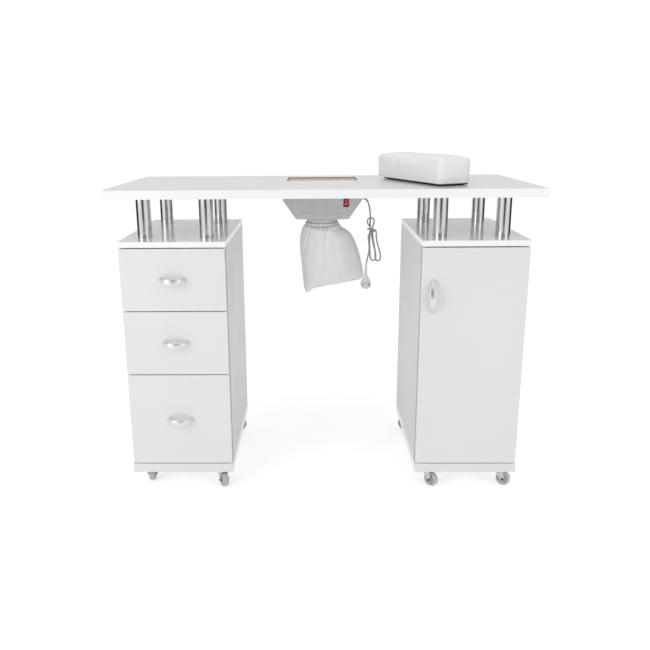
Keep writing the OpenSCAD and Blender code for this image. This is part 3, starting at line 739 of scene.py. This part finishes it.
# ------------------------------------------------------------------ handles
def handle_mesh(name, length, origin, vertical):
    """A bow pull: a strap that arches forward, deeper in the middle, on two feet."""
    B = Builder()
    reach = 24.0
    r = (length * length / 4 + reach * reach) / (2 * reach)
    half = math.asin(length / 2 / r)
    n, k = 49, 20
    vs, fs = [], []
    for i in range(n):
        s = -1 + 2 * i / (n - 1)
        th = s * half * 0.985
        # centre line of the strap on the middle of its thickness
        rc = r - 2.1
        x, y = rc * math.sin(th), -(rc * math.cos(th) - (r - reach))
        e = abs(s)
        top = 7.6 - 0.5 * (1 - e * e)
        bot = -10.2 + 10.4 * e ** 2.2
        if e > 0.93:
            top -= (e - 0.93) * 12
            bot += (e - 0.93) * 10
        thick = 2.0 + 0.35 * (1 - e ** 2)
        hz, cz = (top - bot) / 2, (top + bot) / 2
        for j in range(k):
            a = 2 * math.pi * j / k
            ca, sa = math.cos(a), math.sin(a)
            rx = thick * (abs(ca) ** 0.75) * (1 if ca > 0 else -1)
            rz = hz * (abs(sa) ** 0.82) * (1 if sa > 0 else -1)
            # a slight crown: the strap's front bulges
            nx, ny = math.sin(th), -math.cos(th)
            vs.append((x + nx * rx, y + ny * rx, cz + rz))
    for i in range(n - 1):
        for j in range(k):
            fs.append((i * k + j, i * k + (j + 1) % k, (i + 1) * k + (j + 1) % k, (i + 1) * k + j))
    fs.append(tuple(range(k - 1, -1, -1)))
    fs.append(tuple((n - 1) * k + j for j in range(k)))
    verts = [(a * MM, b * MM, c * MM) for a, b, c in vs]
    R = Matrix.Rotation(math.radians(90), 4, "Y") if vertical else Matrix.Identity(4)
    T = Matrix.Translation(origin) @ R
    B.add([tuple(T @ Vector(v)) for v in verts], fs, 0)
    for s in (-1, 1):
        prof = [(0, 0.0), (5.4, 0.0), (5.4, 0.9), (5.0, 1.5), (4.2, 2.1), (3.7, 3.2), (3.5, 6.2), (0, 6.4)]
        F = T @ Matrix.Translation((s * (length / 2 - 4.5) * MM, 0, 2.2 * MM)) @ Matrix.Rotation(math.radians(90), 4, "X") @ Matrix.Scale(MM, 4)
        B.lathe(prof, 28, 0, F, closed=False)
    o = B.obj(name, [M["handle"]])
    return o


for i in (1, 2, 3):
    blo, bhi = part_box(f"drawer_{i}_front")
    zc = (blo[2] + bhi[2]) / 2
    h = handle_mesh(f"drawer_{i}_pull", 69.0, (-0.3875, -0.205, zc), False)
    place(h, f"drawer_{i}", "satin_metal", f"drawer_{i}_handle")
h = handle_mesh("door_pull", 90.0, (0.279, -0.205, 0.555), True)
place(h, "door", "satin_metal", "door_handle")


# ------------------------------------------------------------------ grille
def grille():
    """Expanded mesh: rows of slit strands pulled open into diamonds, in a thin folded edge."""
    B = Builder()
    glo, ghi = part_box("vent_grille")
    x0, x1, y0, y1 = glo[0] / MM, ghi[0] / MM, glo[1] / MM, ghi[1] / MM
    zc = (glo[2] + ghi[2]) / 2 / MM + 0.42
    px, py = 8.0, 4.4
    nx, ny = int((x1 - x0 - 4) / px), int((y1 - y0 - 4) / py)
    ox, oy = (x0 + x1) / 2 - nx * px / 2, (y0 + y1) / 2 - ny * py / 2
    w, t = 0.75, 0.42
    for j in range(ny + 1):
        for i in range(nx):
            for s in (-1, 1):
                ax, bx = ox + i * px, ox + (i + 1) * px
                shift = 0 if j % 2 == 0 else px / 2
                p = (ax + shift - px / 2 * (0 if s > 0 else -1), oy + j * py)
                cx_, cy_ = ax + shift + px / 2, oy + j * py
                q = (ax + shift, oy + j * py + py)
                # strand from the knuckle at (ax+shift, y) to the next row's knuckle at half a pitch
                a = np.array([ax + shift, oy + j * py])
                b = a + np.array([s * px / 2, py])
                if not (x0 + 1 <= a[0] <= x1 - 1 and x0 + 1 <= b[0] <= x1 - 1 and b[1] <= y1 - 1):
                    continue
                d = (b - a) / np.linalg.norm(b - a)
                nrm = np.array([-d[1], d[0]])
                steps = 4
                vs = []
                for k in range(steps + 1):
                    u = k / steps
                    c = a + (b - a) * u
                    tri = abs(((c[0] - ox) / px) % 1.0 - 0.5) * 4 - 1
                    z = zc + 0.62 * tri
                    tilt = 0.45
                    for sw, sz in ((-1, -1), (1, -1), (1, 1), (-1, 1)):
                        vs.append(((c[0] + nrm[0] * w * sw) * MM, (c[1] + nrm[1] * w * sw) * MM,
                                   (z + t * sz + tilt * sw * 0.5 * (1 if nrm[1] > 0 else -1)) * MM))
                fs = []
                for k in range(steps):
                    for e in range(4):
                        fs.append((k * 4 + e, k * 4 + (e + 1) % 4, (k + 1) * 4 + (e + 1) % 4, (k + 1) * 4 + e))
                fs.append((3, 2, 1, 0))
                fs.append(tuple(steps * 4 + e for e in range(4)))
                B.add(vs, fs, 0)
    # folded border
    e = 1.3
    loop = [(x0 + e, y0 + e), (x1 - e, y0 + e), (x1 - e, y1 - e), (x0 + e, y1 - e)]
    pts = []
    for k in range(4):
        a, b = np.array(loop[k]), np.array(loop[(k + 1) % 4])
        for u in np.linspace(0.02, 0.98, 8):
            c = a + (b - a) * u
            pts.append((c[0], c[1], zc))
    B.tube(np.array(pts) * MM, 1.0 * MM, 8, 0, False, True)
    return B.obj("intake_mesh", [M["copper"]], smooth=False)


gr = grille()
GRILLE_BODY = "grille" if "grille" in frame["bodies"] else "frame"
place(gr, GRILLE_BODY, "copper_mesh", "vent_grille")


# ------------------------------------------------------------------ casters: wheels with tread, rim and cap, and axle nuts
def caster(i):
    lo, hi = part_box(f"caster_wheel_{i}")
    c = (lo + hi) / 2
    casters = [(-487, -165, 97), (-288, -165, -62), (-487, 160, 60), (-288, 160, 18), (288, -165, -42), (487, -165, -24),
               (288, 160, 150), (487, 160, 105)]
    x, y, a = casters[i - 1]
    F = (Matrix.Translation((x * MM, y * MM, 0)) @ Matrix.Rotation(math.radians(a), 4, "Z")
         @ Matrix.Translation((18 * MM, 0, 19 * MM)) @ Matrix.Rotation(math.radians(90), 4, "X") @ Matrix.Scale(MM, 4))
    B = Builder()
    tread = [(13.4, -7.4), (14.0, -8.0), (16.6, -8.0), (17.7, -7.5), (18.5, -6.5), (18.9, -5.0), (19.0, -2.5), (19.0, 2.5),
             (18.9, 5.0), (18.5, 6.5), (17.7, 7.5), (16.6, 8.0), (14.0, 8.0), (13.4, 7.4), (13.2, 5.6), (12.2, 5.0), (7.2, 4.6),
             (6.3, 5.4), (6.0, 8.2), (5.6, 8.7), (3.0, 8.7), (2.55, 8.4), (2.55, -8.4), (3.0, -8.7), (5.6, -8.7), (6.0, -8.2),
             (6.3, -5.4), (7.2, -4.6), (12.2, -5.0), (13.2, -5.6)]
    B.lathe(tread, 64, 0, F)
    # ribs in the dish between hub and rim
    for k in range(6):
        ang = math.pi * k / 3
        for s in (-1, 1):
            p = [(6.2, s * 5.2), (12.6, s * 5.2)]
            q = [tuple(F @ Vector((r * math.cos(ang), r * math.sin(ang), z))) for r, z in p]
            B.tube(np.array(q), 0.9 * MM, 8, 0)
    w = B.obj(f"wheel_{i}_tread", [M["wheel"]])
    place(w, f"wheel_{i}", "caster_tread", f"caster_wheel_{i}")
    A = Builder()
    for s in (-1, 1):
        G = F @ Matrix.Scale(s, 4, Vector((0, 0, 1)))
        # domed rivet head on one side, lock nut on the other
        if s > 0:
            A.lathe([(0, 11.3), (4.6, 11.3), (4.5, 12.2), (3.6, 13.2), (2.0, 13.8), (0, 13.95)], 28, 0, G, closed=False)
        else:
            A.lathe([(0, 11.3), (4.4, 11.3), (4.4, 13.4), (3.8, 13.8), (2.6, 13.8), (2.4, 13.4), (0, 13.4)], 6, 0, G, closed=False)
            A.lathe([(0, 13.0), (1.9, 13.0), (1.9, 14.6), (1.6, 14.9), (0, 14.9)], 20, 0, G, closed=False)
    ax = A.obj(f"wheel_{i}_axle_ends", [M["hub"]], smooth=False)
    place(ax, f"swivel_{i}", "caster_frame")


for i in range(1, 9):
    caster(i)


# ------------------------------------------------------------------ rocker marks
def rocker_marks():
    B = Builder()
    T = Matrix.Translation((67.5 * MM, 25 * MM, 771 * MM)) @ Matrix.Rotation(math.radians(-7), 4, "X") @ Matrix.Scale(MM, 4)
    # a bar on the upper half and a ring on the lower one, standing just proud of the curved face
    def face_y(z):
        return -5.8 - 1.1 * abs(z) / 8.6 - 0.06
    for z0, z1 in ((2.6, 6.2),):
        vs = []
        for x in (-0.35, 0.35):
            for z in np.linspace(z0, z1, 6):
                for dy in (0.12, -0.06):
                    vs.append(tuple(T @ Vector((x, face_y(z) + dy, z))))
        m = 6
        fs = []
        for k in range(m - 1):
            a = k * 2
            fs += [(a, a + 1, a + 3, a + 2), (12 + a, 12 + a + 2, 12 + a + 3, 12 + a + 1),
                   (a + 1, 12 + a + 1, 12 + a + 3, a + 3), (a, a + 2, 12 + a + 2, 12 + a)]
        fs += [(0, 12, 13, 1), (10, 11, 23, 22)]
        B.add(vs, fs, 0)
    ring = []
    for k in range(28):
        t = 2 * math.pi * k / 28
        x, z = 1.75 * math.cos(t), -4.4 + 1.75 * math.sin(t)
        ring.append(tuple(T @ Vector((x, face_y(z), z))))
    B.tube(np.array(ring), 0.28 * MM, 8, 0, False, True)
    o = B.obj("rocker_marks", [M["mark"]])
    place(o, "rocker", "red_plastic")


rocker_marks()


# ------------------------------------------------------------------ soft goods
def cloth_run(o, pin_group, frames, pressure=0.0, gravity=1.0, stiffness=15.0, bend=0.5, mass=0.2, rest_key=None, quality=6,
              self_collide=False, shrink=0.0, damping=5.0):
    cl = o.modifiers.new("cloth", "CLOTH")
    st = cl.settings
    st.quality = quality
    st.mass = mass
    st.tension_stiffness = st.compression_stiffness = stiffness
    st.shear_stiffness = stiffness * 0.6
    st.bending_stiffness = bend
    st.tension_damping = st.compression_damping = damping
    st.air_damping = 2.0
    st.effector_weights.gravity = gravity
    st.shrink_min = shrink
    if pressure:
        st.use_pressure = True
        st.uniform_pressure_force = pressure
    if pin_group:
        st.vertex_group_mass = pin_group
    if rest_key:
        st.rest_shape_key = rest_key
    cl.collision_settings.use_collision = False
    cl.collision_settings.use_self_collision = self_collide
    if self_collide:
        cl.collision_settings.self_distance_min = 0.0012
    cl.point_cache.frame_start, cl.point_cache.frame_end = 1, frames
    for f in range(1, frames + 1):
        scene.frame_set(f)
    dg = bpy.context.evaluated_depsgraph_get()
    me = bpy.data.meshes.new_from_object(o.evaluated_get(dg))
    co = np.array([v.co for v in me.vertices])
    bpy.data.meshes.remove(me)
    o.modifiers.remove(cl)
    scene.frame_set(1)
    return co


# ---- the dust bag: a flat sewn sack whose mouth is gathered on an elastic
def spline1(ts, vals, t):
    ts, vals = np.array(ts, float), np.array(vals, float)
    k = np.clip(np.searchsorted(ts, t) - 1, 0, len(ts) - 2)
    out = []
    m = np.gradient(vals, ts, axis=0)
    h = ts[k + 1] - ts[k]
    u = (t - ts[k]) / h
    h00, h10, h01, h11 = 2 * u**3 - 3 * u**2 + 1, u**3 - 2 * u**2 + u, -2 * u**3 + 3 * u**2, u**3 - u**2
    return h00[:, None] * vals[k] + (h10 * h)[:, None] * m[k] + h01[:, None] * vals[k + 1] + (h11 * h)[:, None] * m[k + 1]


def bag():
    U, V = 208, 84
    tv = np.linspace(0, 1, V)
    #            v     left x, z      right x, z
    vk = [0, 0.045, 0.11, 0.20, 0.30, 0.42, 0.56, 0.70, 0.84, 0.94, 1.0]
    Lk = [(-46, 704), (-50, 698), (-63, 689), (-71, 669), (-73.5, 647), (-72, 620), (-69, 588), (-66.5, 554), (-63, 520), (-60, 499), (-55, 488)]
    Rk = [(46, 704), (51, 699), (69, 691), (89, 677), (103, 656), (113, 629), (121, 601), (127, 573), (130.5, 550), (129.5, 540), (124, 533)]
    Dk = [46, 47, 51, 53, 52, 49, 44, 36, 24, 11, 1.2]
    Ck = [100, 100, 100, 101, 102, 103, 104, 104, 103, 102.5, 102]
    L = spline1(vk, Lk, tv)
    Rr = spline1(vk, Rk, tv)
    D = spline1(vk, np.array(Dk, float)[:, None], tv)[:, 0]
    C = spline1(vk, np.array(Ck, float)[:, None], tv)[:, 0]
    rng = np.random.RandomState(7)
    ph = rng.uniform(0, 2 * math.pi, 12)
    verts = np.zeros((V, U, 3))
    for i, v in enumerate(tv):
        cx, cz = (L[i] + Rr[i]) / 2
        hx, hz = (Rr[i] - L[i]) / 2
        flat = min(1.0, max(0.0, (v - 0.35) / 0.65))
        for j in range(U):
            th = 2 * math.pi * j / U
            c, s = math.cos(th), math.sin(th)
            # towards the seam the section becomes a lens with sharp edges
            sy = (abs(s) ** (1 + 0.75 * flat)) * (1 if s >= 0 else -1)
            g = 0.0
            if v < 0.42:
                fade = math.exp(-v / 0.075)
                far = math.exp(-v / 0.16)
                w = 32 * th + 0.9 * math.sin(3 * th + ph[0]) + 0.6 * math.sin(7 * th + ph[1])
                start = min(1.0, 0.25 + v / 0.05)
                g = 4.0 * start * fade * math.sin(w) + 1.0 * far * math.sin(17 * th + ph[2] + 0.8 * math.sin(5 * th)) \
                    + 0.5 * math.exp(-v / 0.24) * math.sin(9 * th + ph[3])
            wr = 0.0
            if v > 0.15:
                wr = 0.9 * math.sin(6 * th + 9 * v + ph[4]) * math.sin(7 * v + 2 * th + ph[5])
            r = 1 + (g - 1.1) / max(30, abs(hx)) if v < 0.42 else 1
            yy = C[i] - D[i] * sy * r - wr * sy * (1 - flat * 0.6)
            verts[i, j] = (cx + hx * c * r, yy, cz + hz * c)
    co = verts.reshape(-1, 3) * MM
    faces = [(i * U + j, i * U + (j + 1) % U, (i + 1) * U + (j + 1) % U, (i + 1) * U + j) for i in range(V - 1) for j in range(U)]
    # bottom seam: join front and back along the last ring
    last = (V - 1) * U
    for j in range(U // 2):
        a, b = last + j, last + (j + 1) % U
        c, d = last + (U - j - 1) % U, last + (U - j) % U
        if len({a, b, c, d}) == 4:
            faces.append((a, b, c, d))
        elif len({a, b, c, d}) == 3:
            faces.append(tuple(dict.fromkeys((a, b, c, d))))
    o = mesh_obj("dust_bag_cloth", co, faces)
    o.data.materials.append(M["cloth"])
    g = o.vertex_groups.new(name="pin")
    g.add(list(range(0, 4 * U)), 1.0, "REPLACE")
    for i in range(4, 9):
        g.add(list(range(i * U, (i + 1) * U)), 0.5 * (9 - i) / 5, "REPLACE")
    # the cloth is cut a little larger than the shape it takes up, so it buckles
    o.shape_key_add(name="Basis")
    key = o.shape_key_add(name="cut")
    big = co.copy()
    mid = np.array([0.03, 0.103, 0.6])
    big = mid + (co - mid) * np.array([1.05, 1.05, 1.02])
    key.data.foreach_set("co", big.ravel())
    key.value = 0.0
    new = cloth_run(o, "pin", 24, pressure=0.8, gravity=0.25, stiffness=9, bend=0.12, mass=0.12, rest_key=key,
                    quality=5, damping=3)
    o.shape_key_clear()
    move = new - co
    d = np.linalg.norm(move, axis=1)
    cap = 0.0065
    move *= np.minimum(1, cap / np.maximum(d, 1e-9))[:, None]
    co = co + move
    o.data.vertices.foreach_set("co", co.ravel())
    o.data.update()
    modifier(o, "SUBSURF", "smooth", levels=1, render_levels=1)
    modifier(o, "SOLIDIFY", "cloth", thickness=0.0004, offset=0)
    place(o, "frame", "filter_cloth", "dust_bag")
    return o, co


bag_obj, bag_co = bag()


def bag_hem():
    """The gathered hem over its elastic, with a frilled lower edge."""
    B = Builder()
    U, Vn = 420, 12
    rng = np.random.RandomState(3)
    ph = rng.uniform(0, 2 * math.pi, 8)
    prof = []
    vs, fs = [], []
    for i in range(Vn):
        t = i / (Vn - 1)
        z = 706.2 - 8.6 * t
        base = 46.6 + 2.0 * math.sin(math.pi * min(1, t * 1.35)) + (0.4 if t < 0.7 else 1.6 * (t - 0.7) / 0.3)
        amp = 0.5 + 1.9 * t ** 1.6
        for j in range(U):
            th = 2 * math.pi * j / U
            w = 34 * th + 1.1 * math.sin(4 * th + ph[0]) + 0.7 * math.sin(9 * th + ph[1])
            r = base + amp * math.sin(w) + 0.4 * math.sin(23 * th + ph[2] + 2 * t)
            vs.append((r * math.cos(th) * MM, (100 + r * math.sin(th)) * MM, (z + 0.7 * t * math.sin(31 * th + ph[3])) * MM))
    for i in range(Vn - 1):
        for j in range(U):
            fs.append((i * U + j, i * U + (j + 1) % U, (i + 1) * U + (j + 1) % U, (i + 1) * U + j))
    B.add(vs, fs, 0)
    o = B.obj("bag_hem", [M["hem"]])
    modifier(o, "SOLIDIFY", "cloth", thickness=0.0007, offset=0)
    place(o, "frame", "elastic_band", "bag_band")
    return o


hem = bag_hem()


def bag_seams():
    """The overlocked bottom seam, as a narrow welt with its thread."""
    B = Builder()
    U, V = 208, 84
    last = (V - 1) * U
    pts = np.array([bag_co[last + j] for j in range(0, U // 2 + 1, 2)])
    pts = pts + np.array([0, 0.0008, -0.0012])
    B.tube(pts, 1.0 * MM, 8, 0, True, False, 0.7)
    t = np.linspace(0, 1, 420)
    s = np.r_[0, np.cumsum(np.linalg.norm(np.diff(pts, axis=0), axis=1))]
    cen = np.stack([np.interp(t * s[-1], s, pts[:, k]) for k in range(3)], 1)
    tt = 2 * math.pi * 52 * t
    wound = cen + np.stack([0 * t, np.cos(tt) * 1.25 * MM, np.sin(tt) * 1.25 * MM], 1)
    B.tube(wound, 0.22 * MM, 5, 1)
    o = B.obj("bag_bottom_seam", [M["cloth"], M["thread"]])
    place(o, "frame", "filter_cloth")
    return o


seam = bag_seams()


# ---- the wrist cushion
PAD_T = Matrix.Translation((0.2712, -0.0099, 0.832)) @ Matrix.Rotation(math.radians(-66), 4, "Z")


def rounded_box(hx, hy, z0, z1, rv, rt, rb, nxy=14, seg=6):
    """A closed quad shell: plan corners of radius rv, top edge radius rt, bottom edge radius rb."""
    def ring(inset):
        ex, ey = hx - inset, hy - inset
        r = max(rv - inset, 0.001)
        pts = []
        for cx, cy, a0 in ((ex - r, ey - r, 0), (-(ex - r), ey - r, 90), (-(ex - r), -(ey - r), 180), (ex - r, -(ey - r), 270)):
            for k in range(seg + 1):
                a = math.radians(a0 + 90 * k / seg)
                pts.append((cx + r * math.cos(a), cy + r * math.sin(a)))
        # walk the loop evenly
        P = np.array(pts + pts[:1])
        s = np.r_[0, np.cumsum(np.linalg.norm(np.diff(P, axis=0), axis=1))]
        t = np.linspace(0, s[-1], 181)[:-1]
        return np.stack([np.interp(t, s, P[:, k]) for k in range(2)], 1)
    levels = []
    for k in range(6):
        a = math.radians(90 * k / 5)
        levels.append((rb * (1 - math.sin(a)), z0 + rb * (1 - math.cos(a))))
    for z in np.linspace(z0 + rb, z1 - rt, 10)[1:-1]:
        levels.append((0.0, z))
    for k in range(7):
        a = math.radians(90 * k / 6)
        levels.append((rt * (1 - math.cos(a)), z1 - rt + rt * math.sin(a)))
    vs, fs = [], []
    for inset, z in levels:
        for x, y in ring(inset):
            vs.append((x, y, z))
    n, m = 180, len(levels)
    for i in range(m - 1):
        for k in range(n):
            fs.append((i * n + k, i * n + (k + 1) % n, (i + 1) * n + (k + 1) % n, (i + 1) * n + k))
    for i, rev in ((0, True), (m - 1, False)):
        ring_i = [i * n + k for k in range(n)]
        fs.append(tuple(reversed(ring_i)) if rev else tuple(ring_i))
    return np.array(vs), fs


def cushion():
    hx, hy, z0, z1 = 160.0, 54.0, 5.2, 76.0
    vs, fs = rounded_box(hx - 2.0, hy - 2.0, z0 + 0.3, z1 - 2.6, 13, 12, 3)
    o = mesh_obj("wrist_cushion_cover", vs * MM, fs)
    o.data.materials.append(M["leather"])
    rm = modifier(o, "REMESH", "remesh", mode="VOXEL", voxel_size=0.0048, use_smooth_shade=True)
    dg = bpy.context.evaluated_depsgraph_get()
    me = bpy.data.meshes.new_from_object(o.evaluated_get(dg))
    o.modifiers.clear()
    old = o.data
    o.data = me
    bpy.data.meshes.remove(old)
    if not me.materials:
        me.materials.append(M["leather"])
    co = np.array([v.co for v in me.vertices])
    new = cloth_run(o, None, 12, pressure=3.5, gravity=0.0, stiffness=26, bend=6.0, mass=0.3, quality=5)
    move = new - co
    d = np.linalg.norm(move, axis=1)
    low_down = np.clip((co[:, 2] - 0.010) / 0.022, 0, 1)
    move *= np.minimum(1, 0.0045 / np.maximum(d, 1e-9))[:, None] * low_down[:, None]
    co = co + move
    # keep it in the room its core holds: flat underneath, upholstered over a firm block
    lim_x, lim_y, top = hx * MM, hy * MM, z1 * MM
    mx, my, mz = np.abs(co[:, 0]).max(), np.abs(co[:, 1]).max(), co[:, 2].max()
    co[:, 0] *= lim_x / mx
    co[:, 1] *= lim_y / my
    low = z0 * MM
    zb = co[:, 2].min()
    co[:, 2] = low + (co[:, 2] - zb) * (top - low) / (mz - zb)
    # flatten the underside onto the base board
    under = co[:, 2] < low + 0.006
    co[under, 2] = low + (co[under, 2] - low) * 0.25
    # seams pull in: a perimeter seam below the top edge and the upright joins of the side band
    x, y, z = co[:, 0] / MM, co[:, 1] / MM, co[:, 2] / MM
    side = np.clip((np.maximum(np.abs(x) / hx, np.abs(y) / hy) - 0.80) / 0.15, 0, 1)
    rad = np.stack([x / hx ** 2, y / hy ** 2, 0 * x], 1)
    rad /= np.linalg.norm(rad, axis=1)[:, None] + 1e-9
    dip = 1.1 * np.exp(-((z - SEAM_Z) / 2.2) ** 2) * side
    for sx in SEAM_X:
        dip += 1.3 * np.exp(-((x - sx) / 3.0) ** 2) * (np.abs(y) > hy * 0.72) * np.clip((z - SEAM_Z) / 6, 0, 1) * np.clip((66 - z) / 8, 0, 1)
    # shallow slack of the cover between the seams
    wave = 0.5 * np.sin(x / 21.0 + 0.7) * np.sin(z / 17.0 + x / 60.0) + 0.35 * np.sin(x / 9.5 + z / 13.0)
    co = co - rad * ((dip - wave * side * 0.8) * MM)[:, None]
    me.vertices.foreach_set("co", co.ravel())
    me.polygons.foreach_set("use_smooth", [True] * len(me.polygons))
    me.update()
    o.data.transform(PAD_T)
    modifier(o, "SUBSURF", "smooth", levels=1, render_levels=1)
    place(o, "armrest", "leatherette", "armrest_pad")
    # stitching: follows the finished cover
    from mathutils.bvhtree import BVHTree
    bm = bmesh.new()
    bm.from_mesh(o.data)
    tree = BVHTree.FromBMesh(bm)
    B = Builder()
    inv = PAD_T

    def hit(px, py, pz, dx, dy):
        a = inv @ Vector((px * MM, py * MM, pz * MM))
        d = (inv.to_3x3() @ Vector((-dx, -dy, 0))).normalized()
        h = tree.ray_cast(a, d)
        return h

    def stitch(a, b, n):
        a, b, n = np.array(a), np.array(b), np.array(n)
        pts = [a - n * 0.0004, a + (b - a) * 0.18 + n * 0.00042, a + (b - a) * 0.5 + n * 0.00055, a + (b - a) * 0.82 + n * 0.00042, b - n * 0.0004]
        B.tube(np.array(pts), 0.34 * MM, 6, 0)

    # a row above the perimeter seam
    per = []
    ring_n = 720
    for k in range(ring_n):
        th = 2 * math.pi * k / ring_n
        c, s = math.cos(th), math.sin(th)
        # superellipse walk round the plan
        qx, qy = abs(c) ** 0.22 * (1 if c > 0 else -1), abs(s) ** 0.22 * (1 if s > 0 else -1)
        per.append((qx * (hx + 20), qy * (hy + 20)))
    P = np.array(per + per[:1])
    sl = np.r_[0, np.cumsum(np.linalg.norm(np.diff(P, axis=0), axis=1))]
    count = 196
    tt = np.linspace(0, sl[-1], count, endpoint=False)
    walk = np.stack([np.interp(tt, sl, P[:, k]) for k in range(2)], 1)
    for dz in (2.6,):
        for k in range(count):
            p = walk[k]
            q = walk[k] + (walk[(k + 1) % count] - walk[k]) * 0.62
            hs = []
            for w in (p, q):
                ax_, ay_ = max(-hx + 18, min(hx - 18, w[0])), max(-hy + 18, min(hy - 18, w[1]))
                d = Vector((w[0] - ax_, w[1] - ay_))
                d.normalize()
                hs.append(hit(w[0], w[1], SEAM_Z + dz, d.x, d.y))
            if hs[0][0] is None or hs[1][0] is None:
                continue
            if (hs[0][0] - hs[1][0]).length > 0.009:
                continue
            stitch(hs[0][0], hs[1][0], hs[0][1])
    for sx in SEAM_X:
        for sy in (-1, 1):
            for off in (-2.6, 2.6):
                z = SEAM_Z + 3
                while z + 3 < 62:
                    h0, h1 = hit(sx + off, sy * (hy + 20), z, 0, sy), hit(sx + off, sy * (hy + 20), z + 2.8, 0, sy)
                    if h0[0] is not None and h1[0] is not None:
                        stitch(h0[0], h1[0], h0[1])
                    z += 4.4
    bm.free()
    st = B.obj("cushion_stitching", [M["thread"]])
    place(st, "armrest", "leatherette")
    return o


SEAM_Z = 13.0
SEAM_X = (-28.0,)
cushion()


# ------------------------------------------------------------------ floor, light
def plane(name, size, loc, rot=(0, 0, 0)):
    sx, sy = size
    o = mesh_obj(name, [(-sx / 2, -sy / 2, 0), (sx / 2, -sy / 2, 0), (sx / 2, sy / 2, 0), (-sx / 2, sy / 2, 0)], [(0, 1, 2, 3)], False)
    o.location = loc
    o.rotation_euler = rot
    return o


floor = plane("floor", (40, 40), (0, 0, 0))
fm = material("floor_white", (0.80, 0.80, 0.80), 0.9, spec=0.0)
nt, b = nodes_of(fm)
nt.links.new(ramp(nt, noise(nt, coords(nt), 3, 3), [(0.3, 0.795), (0.7, 0.805)]), b.inputs["Base Color"])
b.inputs["Emission Color"].default_value = (1, 1, 1, 1)
flp = nt.nodes.new("ShaderNodeLightPath")
nt.links.new(span(nt, flp.outputs["Is Camera Ray"], 0.26, 0.43, 0.0, 1.0), b.inputs["Emission Strength"])
floor.data.materials.append(fm)

dark = bpy.data.materials.new("card_dark")
dark.use_nodes = True
dark.node_tree.nodes["Principled BSDF"].inputs["Base Color"].default_value = (0.01, 0.01, 0.01, 1)
dark.node_tree.nodes["Principled BSDF"].inputs["Roughness"].default_value = 1.0


def card(name, size, loc, look):
    o = plane(name, size, loc)
    d = (Vector(look) - Vector(loc)).normalized()
    o.rotation_euler = d.to_track_quat("Z", "Y").to_euler()
    o.data.materials.append(dark)
    o.visible_camera = False
    o.visible_diffuse = False
    o.visible_shadow = False
    o.visible_transmission = False
    return o


card("card_centre", (2.6, 3.6), (-0.05, -4.2, 1.6), (0, 0, 0.75))
card("card_left", (3.6, 2.6), (-3.0, 1.0, 1.3), (0, 0.6, 0.75))
card("card_right", (3.6, 2.6), (3.0, 1.0, 1.3), (0, 0.6, 0.75))

world = bpy.data.worlds.new("studio")
scene.world = world
world.use_nodes = True
wn = world.node_tree
bg = wn.nodes["Background"]
bg.inputs["Color"].default_value = (1, 1, 1, 1)
bg.inputs["Strength"].default_value = 1.0
# a studio that brightens overhead
wt = wn.nodes.new("ShaderNodeTexCoord")
wsep = wn.nodes.new("ShaderNodeSeparateXYZ")
wn.links.new(wt.outputs["Generated"], wsep.inputs[0])
wmr = wn.nodes.new("ShaderNodeMapRange")
wmr.interpolation_type = "SMOOTHSTEP"
wmr.inputs["From Min"].default_value = 0.05
wmr.inputs["From Max"].default_value = 0.95
wmr.inputs["To Min"].default_value = 0.36
wmr.inputs["To Max"].default_value = 0.86
wn.links.new(wsep.outputs["Z"], wmr.inputs["Value"])
wback = wn.nodes.new("ShaderNodeMapRange")
wback.interpolation_type = "SMOOTHSTEP"
wback.inputs["From Min"].default_value = 0.45
wback.inputs["From Max"].default_value = 0.95
wback.inputs["To Min"].default_value = 0.0
wback.inputs["To Max"].default_value = 0.36
wn.links.new(wsep.outputs["Y"], wback.inputs["Value"])
wadd = wn.nodes.new("ShaderNodeMath")
wadd.operation = "ADD"
wn.links.new(wmr.outputs["Result"], wadd.inputs[0])
wn.links.new(wback.outputs["Result"], wadd.inputs[1])
wn.links.new(wadd.outputs[0], bg.inputs["Strength"])
bg2 = wn.nodes.new("ShaderNodeBackground")
bg2.inputs["Color"].default_value = (1, 1, 1, 1)
bg2.inputs["Strength"].default_value = 1.05
lp = wn.nodes.new("ShaderNodeLightPath")
mx = wn.nodes.new("ShaderNodeMixShader")
wn.links.new(lp.outputs["Is Camera Ray"], mx.inputs[0])
wn.links.new(bg.outputs[0], mx.inputs[1])
wn.links.new(bg2.outputs[0], mx.inputs[2])
wn.links.new(mx.outputs[0], wn.nodes["World Output"].inputs["Surface"])


def area(name, power, size, loc, look, color=(1, 1, 1)):
    d = bpy.data.lights.new(name, "AREA")
    d.shape = "RECTANGLE"
    d.size, d.size_y = size
    d.energy = power
    d.color = color
    o = bpy.data.objects.new(name, d)
    scene.collection.objects.link(o)
    o.location = loc
    o.rotation_euler = (Vector(look) - Vector(loc)).to_track_quat("-Z", "Y").to_euler()
    o.visible_camera = False
    return o


area("softbox_left", 37, (1.8, 2.2), (-2.8, -2.3, 1.6), (0, 0, 0.5))
area("softbox_right", 18, (1.6, 2.2), (2.6, -2.6, 1.6), (0, 0, 0.5))
area("softbox_top", 3.5, (2.4, 1.6), (0, -0.6, 3.2), (0, 0, 0.5))

scene.view_settings.view_transform = "Standard"
scene.view_settings.look = "None"
scene.view_settings.exposure = 0
scene.view_settings.gamma = 1
